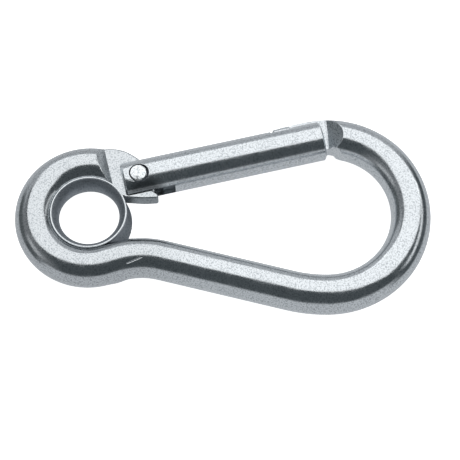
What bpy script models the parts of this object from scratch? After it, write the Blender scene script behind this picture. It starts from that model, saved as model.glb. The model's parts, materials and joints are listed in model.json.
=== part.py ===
"""Snap hook: a bent stainless bar with a pressed-in eyelet and a sprung, riveted gate.

The hook lies flat: its plane is level, its long side runs along X with the eye at -X, and the underside of
the bar is at height 0. Two frames are used while it is made. The eye frame has its origin at the middle of
the eye, half way up the bar. The gate frame has its origin on the hinge rivet, X along the gate towards the
nose and Y towards the outside of the hook.
"""

import math

import bmesh
import bpy
from mathutils import Matrix, Vector

# Bar and the schedule of its bends, from the hinge round the eye, along the arm and round the bowl
BAR_DIAMETER = 0.0100
EYE_BEND_RADIUS = 0.0136
EYE_EXIT_HEADING = math.radians(17.3)
NECK_STRAIGHT = 0.0034
NECK_BEND_RADIUS = 0.0206
ARM_HEADING = math.radians(-14.2)
ARM_STRAIGHT = 0.0325
HEEL_BEND_RADIUS = 0.0365
HEEL_BEND_TURN = math.radians(14.8)
BOWL_BEND_RADIUS = 0.0214
BOWL_BEND_TURN = math.radians(122.7)
NOSE_BEND_RADIUS = 0.0202

# Hinge: where the rivet stands round the eye, and how far the gate lies inside the nose's axis
PIVOT_ANGLE = math.radians(39.8)
GATE_INSET = 0.00055

# Tang: the bar's first end, coined flat between a steep ramp and a square end
TANG_THICKNESS = 0.0040
TANG_SPREAD = 0.0010
TANG_EDGE_ROUND = 0.0007
TANG_END = 0.0034
TANG_SHOULDER_ROUND = 0.0007
TANG_TOE_ROUND = 0.0014
TANG_RAMP_SLOPE = math.radians(63)
TANG_SWELL = math.radians(30)
TANG_SWELL_BEFORE_RAMP = math.radians(10)
LIP_DROP = 0.0062

# Nose: the bar's last end, coined to a tongue with a thicker head across its tip
TONGUE_THICKNESS = 0.0040
TONGUE_LENGTH = 0.0140
TONGUE_SPREAD = 0.0001
TONGUE_EDGE_ROUND = 0.0006
NOSE_RAMP_SLOPE = math.radians(45)
NOSE_RAMP_BEYOND_BEND = 0.0052
NOSE_TRIM_SLOPE = math.radians(47)
HEAD_LENGTH = 0.0045
HEAD_SHOULDER = 0.0012
HEAD_RISE = 0.00065
HEAD_EDGE_ROUND = 0.0003
NOTCH_DEPTH = 0.0006
NOTCH_LENGTH = 0.0012

# Gate: round bar with a fork, a bore for the spring and a T-shaped slot for the tongue
GATE_DIAMETER = 0.0100
GATE_HEEL = 0.0041
GATE_NOSE_GAP = 0.0020
GATE_EDGE_ROUND = 0.0003
GATE_FLOOR = 0.0012
GATE_POCKET_WALL = 0.0007
BORE_END_WALL = 0.0030
BORE_POINT_DEPTH = 0.0012

# Eyelet: flared against the bar on both sides, with a wider flange below
EYELET_WALL = 0.0010
EYELET_FLARE_ABOVE = math.radians(43.3)
EYELET_FLARE_BELOW = math.radians(61.2)
EYELET_RIM_ROUND = 0.00035

# Rivet: a shank with two low domed heads sunk into flats on the gate
RIVET_DIAMETER = 0.0030
RIVET_HEAD_DIAMETER = 0.0048
RIVET_HEAD_SINK = 0.0006
RIVET_HEAD_RIM = 0.00020
RIVET_HEAD_CROWN = 0.00025

# Plunger and spring
PLUNGER_SHOULDER = 0.0008
PLUNGER_BODY = 0.0062
PLUNGER_NOSE = 0.0012
PLUNGER_SPIGOT = 0.0040
PLUNGER_CHAMFER = 0.0003
WIRE_DIAMETER = 0.0008
SPRING_TURNS = 11

# Clearances between pieces that fit or move in each other
FIT_CLEARANCE = 0.00025
RIVET_CLEARANCE = 0.0001
SEAT_CLEARANCE = 0.0002
TONGUE_CLEARANCE = 0.0003
SPIGOT_CLEARANCE = 0.0005
SWING_CLEARANCE = 0.0010
HEEL_TO_RAMP = 0.0008
HEEL_TO_EYELET = 0.0004
HEAD_END_CLEARANCE = 0.0006

# Fineness of round surfaces
BAR_SIDES = 24
BEND_STEP = math.radians(7.5)
GATE_SIDES = 32
TURNED_SIDES = 40
HOLE_SIDES = 32
ROUND_STEPS = 4
SWELL_STEPS = 6
EDGE_STEPS = 5
SIDE_STEPS = 8
POINTS_PER_TURN = 9
FLARE_STEPS = 7
BEVEL_STEPS = 2
SMOOTH_UNDER = math.radians(32)

# How far a cut runs past what it cuts, how far a joined form reaches into the bar, and points taken as one
OVERRUN = 0.004
SUNK = 0.0002
SAME_POINT = 1e-7

BAR_RADIUS = BAR_DIAMETER / 2
GATE_RADIUS = GATE_DIAMETER / 2
TANG_HALF = TANG_THICKNESS / 2
TONGUE_HALF = TONGUE_THICKNESS / 2
HEAD_HALF = TONGUE_HALF + HEAD_SHOULDER
FORK_HALF = TANG_HALF + FIT_CLEARANCE
PLUNGER_NOSE_RADIUS = FORK_HALF - FIT_CLEARANCE
PLUNGER_RADIUS = PLUNGER_NOSE_RADIUS + PLUNGER_SHOULDER
BORE_RADIUS = PLUNGER_RADIUS + FIT_CLEARANCE
COIL_RADIUS = PLUNGER_RADIUS - WIRE_DIAMETER / 2
EYE_OUTER = EYE_BEND_RADIUS + BAR_RADIUS

# The eyelet's rims, and the gate's heel that swings past them and past the tang's ramp
FLARE_RADIUS = BAR_RADIUS + FIT_CLEARANCE
EYELET_ABOVE = FLARE_RADIUS * math.sin(EYELET_FLARE_ABOVE)
EYELET_BELOW = FLARE_RADIUS * math.sin(EYELET_FLARE_BELOW)
FLANGE_RADIUS = EYE_BEND_RADIUS - FLARE_RADIUS * math.cos(EYELET_FLARE_BELOW)
HEEL_AT_FLANGE = math.sqrt(max(0, GATE_RADIUS**2 - EYELET_BELOW**2))
PIVOT_RADIUS = FLANGE_RADIUS + HEEL_TO_EYELET + math.hypot(GATE_HEEL, HEEL_AT_FLANGE)
PIVOT = Matrix.Rotation(PIVOT_ANGLE, 3, "Z") @ Vector((PIVOT_RADIUS, 0, 0))
TANG_RAMP_FOOT = math.hypot(GATE_HEEL, GATE_RADIUS) + HEEL_TO_RAMP


def clear_scene():
    for thing in list(bpy.data.objects):
        bpy.data.objects.remove(thing, do_unlink=True)


def steel(name, colour, roughness):
    """A stainless steel finish."""
    material = bpy.data.materials.new(name)
    material.use_nodes = True
    shader = material.node_tree.nodes["Principled BSDF"]
    shader.inputs["Base Color"].default_value = (*colour, 1)
    shader.inputs["Metallic"].default_value = 1.0
    shader.inputs["Roughness"].default_value = roughness
    return material


def empty(name, parent=None):
    """A frame that pieces hang on."""
    frame = bpy.data.objects.new(name, None)
    frame.empty_display_size = BAR_DIAMETER
    frame.parent = parent
    bpy.context.collection.objects.link(frame)
    return frame


def piece(name, bm, parent, material=None):
    """Turns a bmesh into an object in its parent's frame, shaded smooth between its sharp edges."""
    bmesh.ops.recalc_face_normals(bm, faces=bm.faces)
    mesh = bpy.data.meshes.new(name)
    bm.to_mesh(mesh)
    bm.free()
    mesh.shade_smooth()
    mesh.set_sharp_from_angle(angle=SMOOTH_UNDER)
    if material:
        mesh.materials.append(material)
    thing = bpy.data.objects.new(name, mesh)
    thing.parent = parent
    bpy.context.collection.objects.link(thing)
    return thing


def tool(name, bm, parent):
    """A form that is cut from a piece or joined to it, and isn't a piece itself."""
    thing = piece(name, bm, parent)
    thing.hide_render = True
    thing.display_type = "WIRE"
    return thing


def shape(target, operation, other):
    """Cuts another form from a piece, or joins it to the piece."""
    step = target.modifiers.new(other.name, "BOOLEAN")
    step.operation = operation
    step.solver = "EXACT"
    step.object = other


def prism(outline, low, high, edge_round=0.0):
    """A flat outline carried straight up from one height to another, its edges rounded."""
    bm = bmesh.new()
    floor = bm.faces.new([bm.verts.new((x, y, low)) for x, y in outline])
    risen = bmesh.ops.extrude_face_region(bm, geom=[floor])
    lifted = [item for item in risen["geom"] if isinstance(item, bmesh.types.BMVert)]
    bmesh.ops.translate(bm, verts=lifted, vec=(0, 0, high - low))
    if edge_round:
        rims = [edge for edge in bm.edges if edge.verts[0].co.z == edge.verts[1].co.z]
        bmesh.ops.bevel(bm, geom=rims, offset=edge_round, segments=BEVEL_STEPS, affect="EDGES", profile=0.5)
    return bm


def sideways_prism(outline, low, high):
    """An outline in X and Z carried along Y."""
    bm = prism(outline, -high, -low)
    bmesh.ops.rotate(bm, verts=bm.verts, matrix=Matrix.Rotation(math.pi / 2, 3, "X"))
    return bm


def lengthways_prism(outline, low, high, edge_round):
    """An outline in Y and Z carried along X, its end edges rounded."""
    bm = prism(outline, low, high, edge_round)
    to_x = Matrix(((0, 0, 1), (1, 0, 0), (0, 1, 0)))
    bmesh.ops.rotate(bm, verts=bm.verts, matrix=to_x)
    return bm


def turned(profile, sides, axis):
    """A closed profile of (radius, place along the axis) points turned once round X or Z."""
    bm = bmesh.new()
    ends = [bm.verts.new((radius, 0, along)) for radius, along in profile]
    edges = [bm.edges.new((a, b)) for a, b in zip(ends, ends[1:] + ends[:1])]
    bmesh.ops.spin(
        bm, geom=ends + edges, cent=(0, 0, 0), axis=(0, 0, 1), angle=math.tau, steps=sides, use_merge=True
    )
    bmesh.ops.remove_doubles(bm, verts=bm.verts, dist=SAME_POINT)
    bmesh.ops.dissolve_degenerate(bm, edges=bm.edges, dist=SAME_POINT)
    if axis == "X":
        bmesh.ops.rotate(bm, verts=bm.verts, matrix=Matrix.Rotation(math.pi / 2, 3, "Y"))
    return bm


def cylinder(radius, low, high, sides, axis, edge_round=0.0):
    """A solid round bar along X or Z, its end edges rounded."""
    bm = bmesh.new()
    bmesh.ops.create_cone(
        bm, cap_ends=True, segments=sides, radius1=radius, radius2=radius, depth=high - low,
        matrix=Matrix.Translation((0, 0, (low + high) / 2)),
    )
    if edge_round:
        rims = [edge for edge in bm.edges if edge.verts[0].co.z == edge.verts[1].co.z]
        bmesh.ops.bevel(bm, geom=rims, offset=edge_round, segments=BEVEL_STEPS, affect="EDGES", profile=0.5)
    if axis == "X":
        bmesh.ops.rotate(bm, verts=bm.verts, matrix=Matrix.Rotation(math.pi / 2, 3, "Y"))
    return bm


def unit(angle):
    return Vector((math.cos(angle), math.sin(angle), 0))


def left_of(heading):
    return unit(heading + math.pi / 2)


def arc(centre, radius, start, end, steps):
    """Points of an arc in the plane, both ends included."""
    return [
        (centre[0] + radius * math.cos(angle), centre[1] + radius * math.sin(angle))
        for angle in (start + (end - start) * i / steps for i in range(steps + 1))
    ]


def round_corner(before, corner, after, radius):
    """The arc that rounds a corner between two straight sides."""
    corner = Vector(corner)
    one = (Vector(before) - corner).normalized()
    two = (Vector(after) - corner).normalized()
    half = one.angle(two) / 2
    centre = corner + (one + two).normalized() * (radius / math.sin(half))
    touch = corner + one * (radius / math.tan(half))
    start = math.atan2(*(touch - centre).yx)
    leave = corner + two * (radius / math.tan(half))
    turn = math.atan2(*(leave - centre).yx) - start
    turn = (turn + math.pi) % math.tau - math.pi
    return arc(centre, radius, start, start + turn, ROUND_STEPS)


class BentBar:
    """A round bar, drawn on bend by bend from its first end."""

    def __init__(self, place, heading):
        self.place = place
        self.heading = heading
        self.bm = bmesh.new()
        ring = bmesh.ops.create_circle(self.bm, segments=BAR_SIDES, radius=BAR_RADIUS, cap_ends=False)
        across = unit(heading - math.pi / 2)
        stand = Matrix((across, Vector((0, 0, 1)), unit(heading))).transposed().to_4x4()
        bmesh.ops.transform(self.bm, matrix=Matrix.Translation(place) @ stand, verts=ring["verts"])
        self.end = list(self.bm.verts) + list(self.bm.edges)

    def bend_centre(self, radius):
        return self.place + left_of(self.heading) * radius

    def straight(self, length):
        reach = unit(self.heading) * length
        edges = [item for item in self.end if isinstance(item, bmesh.types.BMEdge)]
        self.end = bmesh.ops.extrude_edge_only(self.bm, edges=edges)["geom"]
        self.end = [item for item in self.end if not isinstance(item, bmesh.types.BMFace)]
        drawn = [item for item in self.end if isinstance(item, bmesh.types.BMVert)]
        bmesh.ops.translate(self.bm, verts=drawn, vec=reach)
        self.end = drawn + [e for e in self.bm.edges if e.verts[0] in drawn and e.verts[1] in drawn]
        self.place = self.place + reach

    def bend(self, radius, turn):
        """Turns the bar to the left by a positive turn, to the right by a negative one."""
        centre = self.bend_centre(math.copysign(radius, turn))
        steps = max(2, math.ceil(abs(turn) / BEND_STEP))
        spun = bmesh.ops.spin(self.bm, geom=self.end, cent=centre, axis=(0, 0, 1), angle=turn, steps=steps)
        self.end = [item for item in spun["geom_last"] if not isinstance(item, bmesh.types.BMFace)]
        self.place = centre + Matrix.Rotation(turn, 3, "Z") @ (self.place - centre)
        self.heading += turn

    def finish(self):
        bmesh.ops.holes_fill(self.bm, edges=[edge for edge in self.bm.edges if edge.is_boundary])
        return self.bm


def bend_bar():
    """Draws the whole bar. Returns its mesh, the gate's direction and how far the nose is from the rivet."""
    bar = BentBar(unit(PIVOT_ANGLE) * EYE_BEND_RADIUS, PIVOT_ANGLE + math.pi / 2)
    bar.bend(EYE_BEND_RADIUS, math.tau + EYE_EXIT_HEADING - bar.heading)
    bar.straight(NECK_STRAIGHT)
    bar.bend(NECK_BEND_RADIUS, ARM_HEADING - EYE_EXIT_HEADING)
    bar.straight(ARM_STRAIGHT)
    bar.bend(HEEL_BEND_RADIUS, HEEL_BEND_TURN)
    bar.bend(BOWL_BEND_RADIUS, BOWL_BEND_TURN)
    # The gate lies on the line from the rivet that just touches a circle inside the nose's bend
    to_centre = bar.bend_centre(NOSE_BEND_RADIUS) - PIVOT
    touch_radius = NOSE_BEND_RADIUS - GATE_INSET
    direction = math.atan2(to_centre.y, to_centre.x) + math.asin(touch_radius / to_centre.length)
    touch = math.sqrt(to_centre.length_squared - touch_radius**2)
    turn = direction + math.pi + math.tau - bar.heading
    bar.bend(NOSE_BEND_RADIUS, turn)
    return bar.finish(), direction, touch


def coin_profile(foot, slope, side, half, reach):
    """Side view of what a coining die takes off above a flat: a ramp from the flat up out of the bar."""
    top = BAR_RADIUS + OVERRUN
    rise = 1 / math.tan(slope)
    return [
        (foot - side * SUNK * rise, half - SUNK),
        (foot + side * (top - half) * rise, top),
        (reach, top),
        (reach, half - SUNK),
    ]


def coin(target, name, profile, low, high, gate_frame):
    """Cuts a coining die's profile from a piece, above and below the hook's plane."""
    for label, sign in (("upper", 1), ("lower", -1)):
        outline = [(x, sign * z) for x, z in profile]
        die = tool(f"{name}_{label}", sideways_prism(outline, low, high), gate_frame)
        shape(target, "DIFFERENCE", die)


def tang_outline(direction):
    """Plan of the tang in the eye frame: outer edge, square end, lip and the side against the eyelet."""
    along = unit(direction).to_2d()
    across = left_of(direction).to_2d()
    pivot = PIVOT.to_2d()
    inner = EYE_BEND_RADIUS - BAR_RADIUS + TANG_EDGE_ROUND
    hidden = EYE_OUTER - 2 * TANG_EDGE_ROUND
    ramp = direction + math.pi / 2 - math.asin((pivot.dot(along) - TANG_RAMP_FOOT) / EYE_OUTER)
    start = ramp + TANG_SWELL_BEFORE_RAMP
    full = start - TANG_SWELL
    outer = EYE_OUTER + TANG_SPREAD
    # The edge swells from inside the bar to its full spread
    swell = []
    for i in range(SWELL_STEPS + 1):
        share = i / SWELL_STEPS
        radius = hidden + (outer - hidden) * math.sin(math.pi / 2 * share)
        swell.append(unit(start + (full - start) * share).to_2d() * radius)
    face = pivot + along * TANG_END
    rise = -face.dot(across) + math.sqrt(face.dot(across) ** 2 - face.length_squared + outer**2)
    shoulder = face + across * rise
    last = math.atan2(shoulder.y, shoulder.x)
    edge = [Vector(p) for p in arc((0, 0), outer, full, last, EDGE_STEPS)][1:-1]
    lip = pivot.y - LIP_DROP
    toe = face - across * ((face.y - lip) / across.y)
    heel_angle = math.asin(lip / inner)
    heel = Vector((inner * math.cos(heel_angle), lip))
    side = arc((0, 0), inner, heel_angle, start, SIDE_STEPS)
    points = [tuple(p) for p in swell + edge]
    points += round_corner(edge[-1], shoulder, toe, TANG_SHOULDER_ROUND)
    points += round_corner(shoulder, toe, heel, TANG_TOE_ROUND)
    return points + side


def tongue_outline(touch, foot, tip, inner):
    """Plan of the tongue in the gate frame, from inside the bar to its tip in the head."""
    centre = (touch, GATE_INSET - NOSE_BEND_RADIUS)
    hidden = NOSE_BEND_RADIUS + BAR_RADIUS - 2 * TONGUE_EDGE_ROUND
    full = NOSE_BEND_RADIUS + BAR_RADIUS + TONGUE_SPREAD
    start = math.asin((foot + TONGUE_EDGE_ROUND - touch) / full)
    edge = []
    for i in range(SWELL_STEPS + 1):
        share = i / SWELL_STEPS
        lean = start * (1 - share)
        radius = hidden + (full - hidden) * math.sin(math.pi / 2 * share)
        edge.append((centre[0] + radius * math.sin(lean), centre[1] + radius * math.cos(lean)))
    top = centre[1] + full
    head = tip + HEAD_LENGTH
    notch = [(head + NOTCH_LENGTH, top), (head + NOTCH_LENGTH / 2, top - NOTCH_DEPTH)]
    in_head = tip + HEAD_LENGTH / 2
    in_bar = foot + BAR_RADIUS / 2
    return edge + notch + [(in_head, top - NOTCH_DEPTH), (in_head, inner), (in_bar, inner)]


def build_frame(bar, direction, touch, nose, eye_frame, gate_frame, material):
    """The bent bar with its coined ends."""
    frame = piece("hook_frame", bar, eye_frame, material)
    wide = EYE_OUTER
    low = -EYE_BEND_RADIUS / 2
    tang = coin_profile(-TANG_RAMP_FOOT, TANG_RAMP_SLOPE, -1, TANG_HALF, TANG_END + OVERRUN)
    coin(frame, "tang_coin", tang, low, wide, gate_frame)
    tongue = coin_profile(nose["foot"], NOSE_RAMP_SLOPE, 1, TONGUE_HALF, nose["tip"])
    coin(frame, "nose_coin", tongue, -wide, wide, gate_frame)
    # The inner side of the nose is trimmed back so that the gate's floor passes under the tongue
    depth = BAR_DIAMETER
    trim = [
        (nose["tip"], nose["inner"] + SUNK),
        (nose["trim"], nose["inner"] + SUNK),
        (nose["trim"] + depth / math.tan(NOSE_TRIM_SLOPE), nose["inner"] - depth),
        (nose["tip"], nose["inner"] - depth),
    ]
    high = BAR_RADIUS + OVERRUN
    shape(frame, "DIFFERENCE", tool("nose_trim", prism(trim, -high, high), gate_frame))
    tang = prism(tang_outline(direction), -TANG_HALF, TANG_HALF, TANG_EDGE_ROUND)
    shape(frame, "UNION", tool("tang_plate", tang, eye_frame))
    outline = tongue_outline(touch, nose["foot"], nose["tip"], nose["inner"])
    tongue = prism(outline, -TONGUE_HALF, TONGUE_HALF, TONGUE_EDGE_ROUND)
    shape(frame, "UNION", tool("tongue_plate", tongue, gate_frame))
    # The head's outer side is round like the gate, and stands a little proud of it
    radius = GATE_RADIUS + HEAD_RISE
    lean = math.asin(HEAD_HALF / radius)
    low = nose["pocket"] + TONGUE_CLEARANCE
    section = [(low, HEAD_HALF), (low, -HEAD_HALF)] + arc((0, 0), radius, -lean, lean, 2 * ROUND_STEPS)
    head = lengthways_prism(section, nose["tip"], nose["tip"] + HEAD_LENGTH, HEAD_EDGE_ROUND)
    shape(frame, "UNION", tool("tongue_head", head, gate_frame))
    hole = cylinder(RIVET_DIAMETER / 2 + RIVET_CLEARANCE, -high, high, HOLE_SIDES, "Z")
    shape(frame, "DIFFERENCE", tool("tang_hole", hole, gate_frame))
    return frame


def fork_outline(end):
    """Plan of the fork's slot: short on the outer side, longer where the lip swings through."""
    shoulder = TANG_END + SWING_CLEARANCE
    lip = math.hypot(TANG_END, LIP_DROP) + SWING_CLEARANCE
    wide = GATE_RADIUS + OVERRUN
    step = -BORE_RADIUS / 2
    return [(end, -wide), (lip, -wide), (lip, step), (shoulder, step), (shoulder, wide), (end, wide)]


def build_gate(nose, gate_frame, material):
    """The gate, with its origin on the rivet's axis."""
    body = cylinder(GATE_RADIUS, -GATE_HEEL, nose["gate_end"], GATE_SIDES, "X", GATE_EDGE_ROUND)
    gate = piece("gate", body, gate_frame, material)
    past = -GATE_HEEL - OVERRUN
    fork = prism(fork_outline(past), -FORK_HALF, FORK_HALF)
    shape(gate, "DIFFERENCE", tool("fork_slot", fork, gate_frame))
    drilled = [(0, past), (BORE_RADIUS, past), (BORE_RADIUS, nose["bore_end"]), (0, nose["bore_point"])]
    shape(gate, "DIFFERENCE", tool("spring_bore", turned(drilled, HOLE_SIDES, "X"), gate_frame))
    wide = GATE_RADIUS + OVERRUN
    floor = GATE_FLOOR - GATE_RADIUS
    neck = [
        (nose["tip"], floor),
        (nose["gate_end"] + OVERRUN, floor),
        (nose["gate_end"] + OVERRUN, wide),
        (nose["tip"], wide),
    ]
    half = TONGUE_HALF + FIT_CLEARANCE
    shape(gate, "DIFFERENCE", tool("neck_slot", prism(neck, -half, half), gate_frame))
    near = nose["tip"] - HEAD_END_CLEARANCE
    far = nose["tip"] + HEAD_LENGTH + HEAD_END_CLEARANCE
    half = HEAD_HALF + FIT_CLEARANCE
    low = nose["pocket"]
    pocket = prism([(near, low), (far, low), (far, wide), (near, wide)], -half, half)
    shape(gate, "DIFFERENCE", tool("head_slot", pocket, gate_frame))
    hole = cylinder(RIVET_DIAMETER / 2 + RIVET_CLEARANCE, -wide, wide, HOLE_SIDES, "Z")
    shape(gate, "DIFFERENCE", tool("cheek_hole", hole, gate_frame))
    seat = GATE_RADIUS - RIVET_HEAD_SINK
    for label, low, high in (("upper", seat, wide), ("lower", -wide, -seat)):
        flat = cylinder(RIVET_HEAD_DIAMETER / 2 + SEAT_CLEARANCE, low, high, HOLE_SIDES, "Z")
        shape(gate, "DIFFERENCE", tool(f"rivet_flat_{label}", flat, gate_frame))
    return gate


def build_rivet(gate_frame, material):
    """The hinge rivet: a shank with a low domed head on each flat of the gate."""
    shank = RIVET_DIAMETER / 2
    head = RIVET_HEAD_DIAMETER / 2
    under = GATE_RADIUS - RIVET_HEAD_SINK + RIVET_CLEARANCE
    rim = under + RIVET_HEAD_RIM
    # The dome is part of a circle through the rim and the crown
    dome = (head**2 + RIVET_HEAD_CROWN**2) / (2 * RIVET_HEAD_CROWN)
    reach = math.asin(head / dome)
    crown = []
    for i in range(ROUND_STEPS + 1):
        lean = reach * i / ROUND_STEPS
        crown.append((dome * math.sin(lean), rim + RIVET_HEAD_CROWN - dome * (1 - math.cos(lean))))
    upper = crown + [(head, under), (shank, under)]
    lower = [(radius, -along) for radius, along in reversed(upper)]
    return piece("hinge_rivet", turned(upper + lower, HOLE_SIDES, "Z"), gate_frame, material)


def build_plunger(gate_frame, material):
    """The plunger: its nose bears on the tang, its spigot holds the spring. Returns its shoulder's place."""
    tip = TANG_END + SEAT_CLEARANCE
    body = tip + PLUNGER_NOSE
    shoulder = body + PLUNGER_BODY
    nose = PLUNGER_NOSE_RADIUS
    radius = PLUNGER_RADIUS
    spigot = COIL_RADIUS - WIRE_DIAMETER / 2 - SPIGOT_CLEARANCE
    profile = [
        (0, tip),
        (nose - PLUNGER_CHAMFER, tip),
        (nose, tip + PLUNGER_CHAMFER),
        (nose, body),
        (radius, body + radius - nose),
        (radius, shoulder),
        (spigot, shoulder),
        (spigot, shoulder + PLUNGER_SPIGOT - PLUNGER_CHAMFER),
        (spigot - PLUNGER_CHAMFER, shoulder + PLUNGER_SPIGOT),
        (0, shoulder + PLUNGER_SPIGOT),
    ]
    piece("plunger", turned(profile, HOLE_SIDES, "X"), gate_frame, material)
    return shoulder


def spring_points(start, end):
    """The wire's axis: a helix along the gate with an end of one wire diameter square to each seat."""
    straight = WIRE_DIAMETER
    turn_in = WIRE_DIAMETER / 2
    coil_start = start + straight + turn_in
    coil_end = end - straight - turn_in
    count = SPRING_TURNS * POINTS_PER_TURN
    coil = []
    for i in range(count + 1):
        angle = math.tau * i / POINTS_PER_TURN
        along = coil_start + (coil_end - coil_start) * i / count
        coil.append(Vector((along, COIL_RADIUS * math.cos(angle), COIL_RADIUS * math.sin(angle))))
    first = Vector((start, coil[0].y, coil[0].z))
    last = Vector((end, coil[-1].y, coil[-1].z))
    lead = Vector((straight, 0, 0))
    return [first, first + lead] + coil[1:-1] + [last - lead, last]


def least_gap(points):
    """The smallest clear distance between a turn of the wire and the next one."""
    apart = POINTS_PER_TURN // 2
    pairs = ((a, b) for i, a in enumerate(points) for b in points[i + apart :])
    return min((a - b).length for a, b in pairs) - WIRE_DIAMETER


def build_spring(start, end, gate_frame, material):
    """The compression spring between the plunger's shoulder and the end of the bore."""
    points = spring_points(start, end)
    curve = bpy.data.curves.new("gate_spring", "CURVE")
    curve.dimensions = "3D"
    curve.bevel_depth = WIRE_DIAMETER / 2
    curve.bevel_resolution = 1
    curve.use_fill_caps = True
    wire = curve.splines.new("POLY")
    wire.points.add(len(points) - 1)
    for point, place in zip(wire.points, points):
        point.co = (*place, 1)
    curve.materials.append(material)
    spring = bpy.data.objects.new("gate_spring", curve)
    spring.parent = gate_frame
    bpy.context.collection.objects.link(spring)
    print(f"gate_spring: least gap to itself {least_gap(points) * 1000:.2f} mm")


def build_eyelet(eye_frame, material):
    """The eyelet: a sleeve flared along the bar's round side, thicker walled towards the bore."""
    inner = FLARE_RADIUS + EYELET_WALL

    def flare(radius, low, high):
        heights = [low + (high - low) * i / FLARE_STEPS for i in range(FLARE_STEPS + 1)]
        return [(EYE_BEND_RADIUS - math.sqrt(radius**2 - z**2), z) for z in heights]

    round_ = EYELET_RIM_ROUND
    outside = flare(FLARE_RADIUS, -EYELET_BELOW + round_, EYELET_ABOVE - round_)
    inside = flare(inner, EYELET_ABOVE - round_, -EYELET_BELOW + round_)
    top = [(outside[-1][0] - round_ / 2, EYELET_ABOVE), (inside[0][0] + round_, EYELET_ABOVE)]
    foot = [(inside[-1][0] + round_, -EYELET_BELOW), (outside[0][0] - round_ / 2, -EYELET_BELOW)]
    profile = outside + top + inside + foot
    return piece("eyelet", turned(profile, TURNED_SIDES, "Z"), eye_frame, material)


def rest_on_floor(datum):
    """Moves the hook so that its box is centred on the origin and stands on height 0."""
    bpy.context.view_layer.update()
    depsgraph = bpy.context.evaluated_depsgraph_get()
    points = []
    for thing in bpy.data.objects:
        if thing.type in {"MESH", "CURVE"} and not thing.hide_render:
            solid = thing.evaluated_get(depsgraph)
            points += [solid.matrix_world @ vertex.co for vertex in solid.to_mesh().vertices]
            solid.to_mesh_clear()
    low = Vector([min(point[i] for point in points) for i in range(3)])
    high = Vector([max(point[i] for point in points) for i in range(3)])
    datum.location = (-(low.x + high.x) / 2, -(low.y + high.y) / 2, -low.z)
    bpy.context.view_layer.update()


def main():
    clear_scene()
    polished = steel("polished_stainless", (0.58, 0.60, 0.62), 0.22)
    gate_steel = steel("turned_stainless", (0.60, 0.62, 0.64), 0.20)
    eyelet_steel = steel("pressed_stainless", (0.52, 0.54, 0.56), 0.28)
    rivet_steel = steel("peened_stainless", (0.70, 0.71, 0.72), 0.25)
    plunger_steel = steel("plain_stainless", (0.45, 0.46, 0.48), 0.35)
    wire_steel = steel("spring_wire", (0.40, 0.41, 0.43), 0.30)

    datum = empty("hook_datum")
    eye_frame = empty("eye_middle", datum)
    gate_frame = empty("gate_pivot", datum)
    bar, direction, touch = bend_bar()
    gate_frame.location = PIVOT
    gate_frame.rotation_euler = (0, 0, direction)

    foot = touch + NOSE_RAMP_BEYOND_BEND
    tip = foot - TONGUE_LENGTH
    bore_point = tip - HEAD_END_CLEARANCE - BORE_END_WALL
    nose = {
        "foot": foot,
        "tip": tip,
        "trim": foot - SWING_CLEARANCE / 2,
        "inner": GATE_FLOOR - GATE_RADIUS + TONGUE_CLEARANCE,
        "pocket": -math.sqrt((GATE_RADIUS - GATE_POCKET_WALL) ** 2 - (HEAD_HALF + FIT_CLEARANCE) ** 2),
        "gate_end": foot - GATE_NOSE_GAP,
        "bore_point": bore_point,
        "bore_end": bore_point - BORE_POINT_DEPTH,
    }
    build_frame(bar, direction, touch, nose, eye_frame, gate_frame, polished)
    build_eyelet(eye_frame, eyelet_steel)
    build_gate(nose, gate_frame, gate_steel)
    build_rivet(gate_frame, rivet_steel)
    shoulder = build_plunger(gate_frame, plunger_steel)
    build_spring(shoulder + SEAT_CLEARANCE, nose["bore_end"] - SEAT_CLEARANCE, gate_frame, wire_steel)
    rest_on_floor(datum)
    for name, frame in (("gate pivot", gate_frame), ("eye middle", eye_frame)):
        place = frame.matrix_world.translation * 1000
        print(f"{name} {place.x:.4f} {place.y:.4f} {place.z:.4f} mm")
    print(f"gate turned {math.degrees(direction):.4f} degrees")


main()
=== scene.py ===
"""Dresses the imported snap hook: a finer mesh and a worked steel finish for each piece, on a white table.

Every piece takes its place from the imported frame. Two frames are used while a piece is made, as in the part's
source. The eye frame has its origin at the middle of the eye, half way up the bar. The gate frame has its
origin on the hinge rivet, X along the gate towards the nose and Y towards the outside of the hook. A piece is
then settled, so that its place is in its mesh. Lengths are in metres.
"""

import json
import logging
import math
from collections.abc import Callable, Sequence
from dataclasses import dataclass, replace
from enum import Enum, IntEnum

import bpy
from bpy.types import Material, Node, NodeSocket, NodeTree, Object
from mathutils import Matrix, Vector


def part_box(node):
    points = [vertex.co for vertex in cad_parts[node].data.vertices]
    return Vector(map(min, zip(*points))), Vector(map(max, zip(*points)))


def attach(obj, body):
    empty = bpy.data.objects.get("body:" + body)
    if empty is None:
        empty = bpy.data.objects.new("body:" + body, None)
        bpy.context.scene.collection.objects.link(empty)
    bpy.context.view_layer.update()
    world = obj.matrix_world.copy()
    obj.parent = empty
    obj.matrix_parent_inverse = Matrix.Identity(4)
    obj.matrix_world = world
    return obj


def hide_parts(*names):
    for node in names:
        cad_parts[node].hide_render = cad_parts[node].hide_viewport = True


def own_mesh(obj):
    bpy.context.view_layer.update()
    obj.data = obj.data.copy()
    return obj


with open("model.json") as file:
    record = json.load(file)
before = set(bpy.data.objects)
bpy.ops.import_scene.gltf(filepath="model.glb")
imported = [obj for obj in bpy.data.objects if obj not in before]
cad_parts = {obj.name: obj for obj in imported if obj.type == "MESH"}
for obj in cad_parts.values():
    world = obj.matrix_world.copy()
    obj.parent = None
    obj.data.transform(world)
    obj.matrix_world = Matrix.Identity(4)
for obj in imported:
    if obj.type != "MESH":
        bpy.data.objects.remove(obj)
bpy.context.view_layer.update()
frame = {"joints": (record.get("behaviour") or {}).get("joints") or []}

LOG = logging.getLogger("snap_hook")

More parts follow.
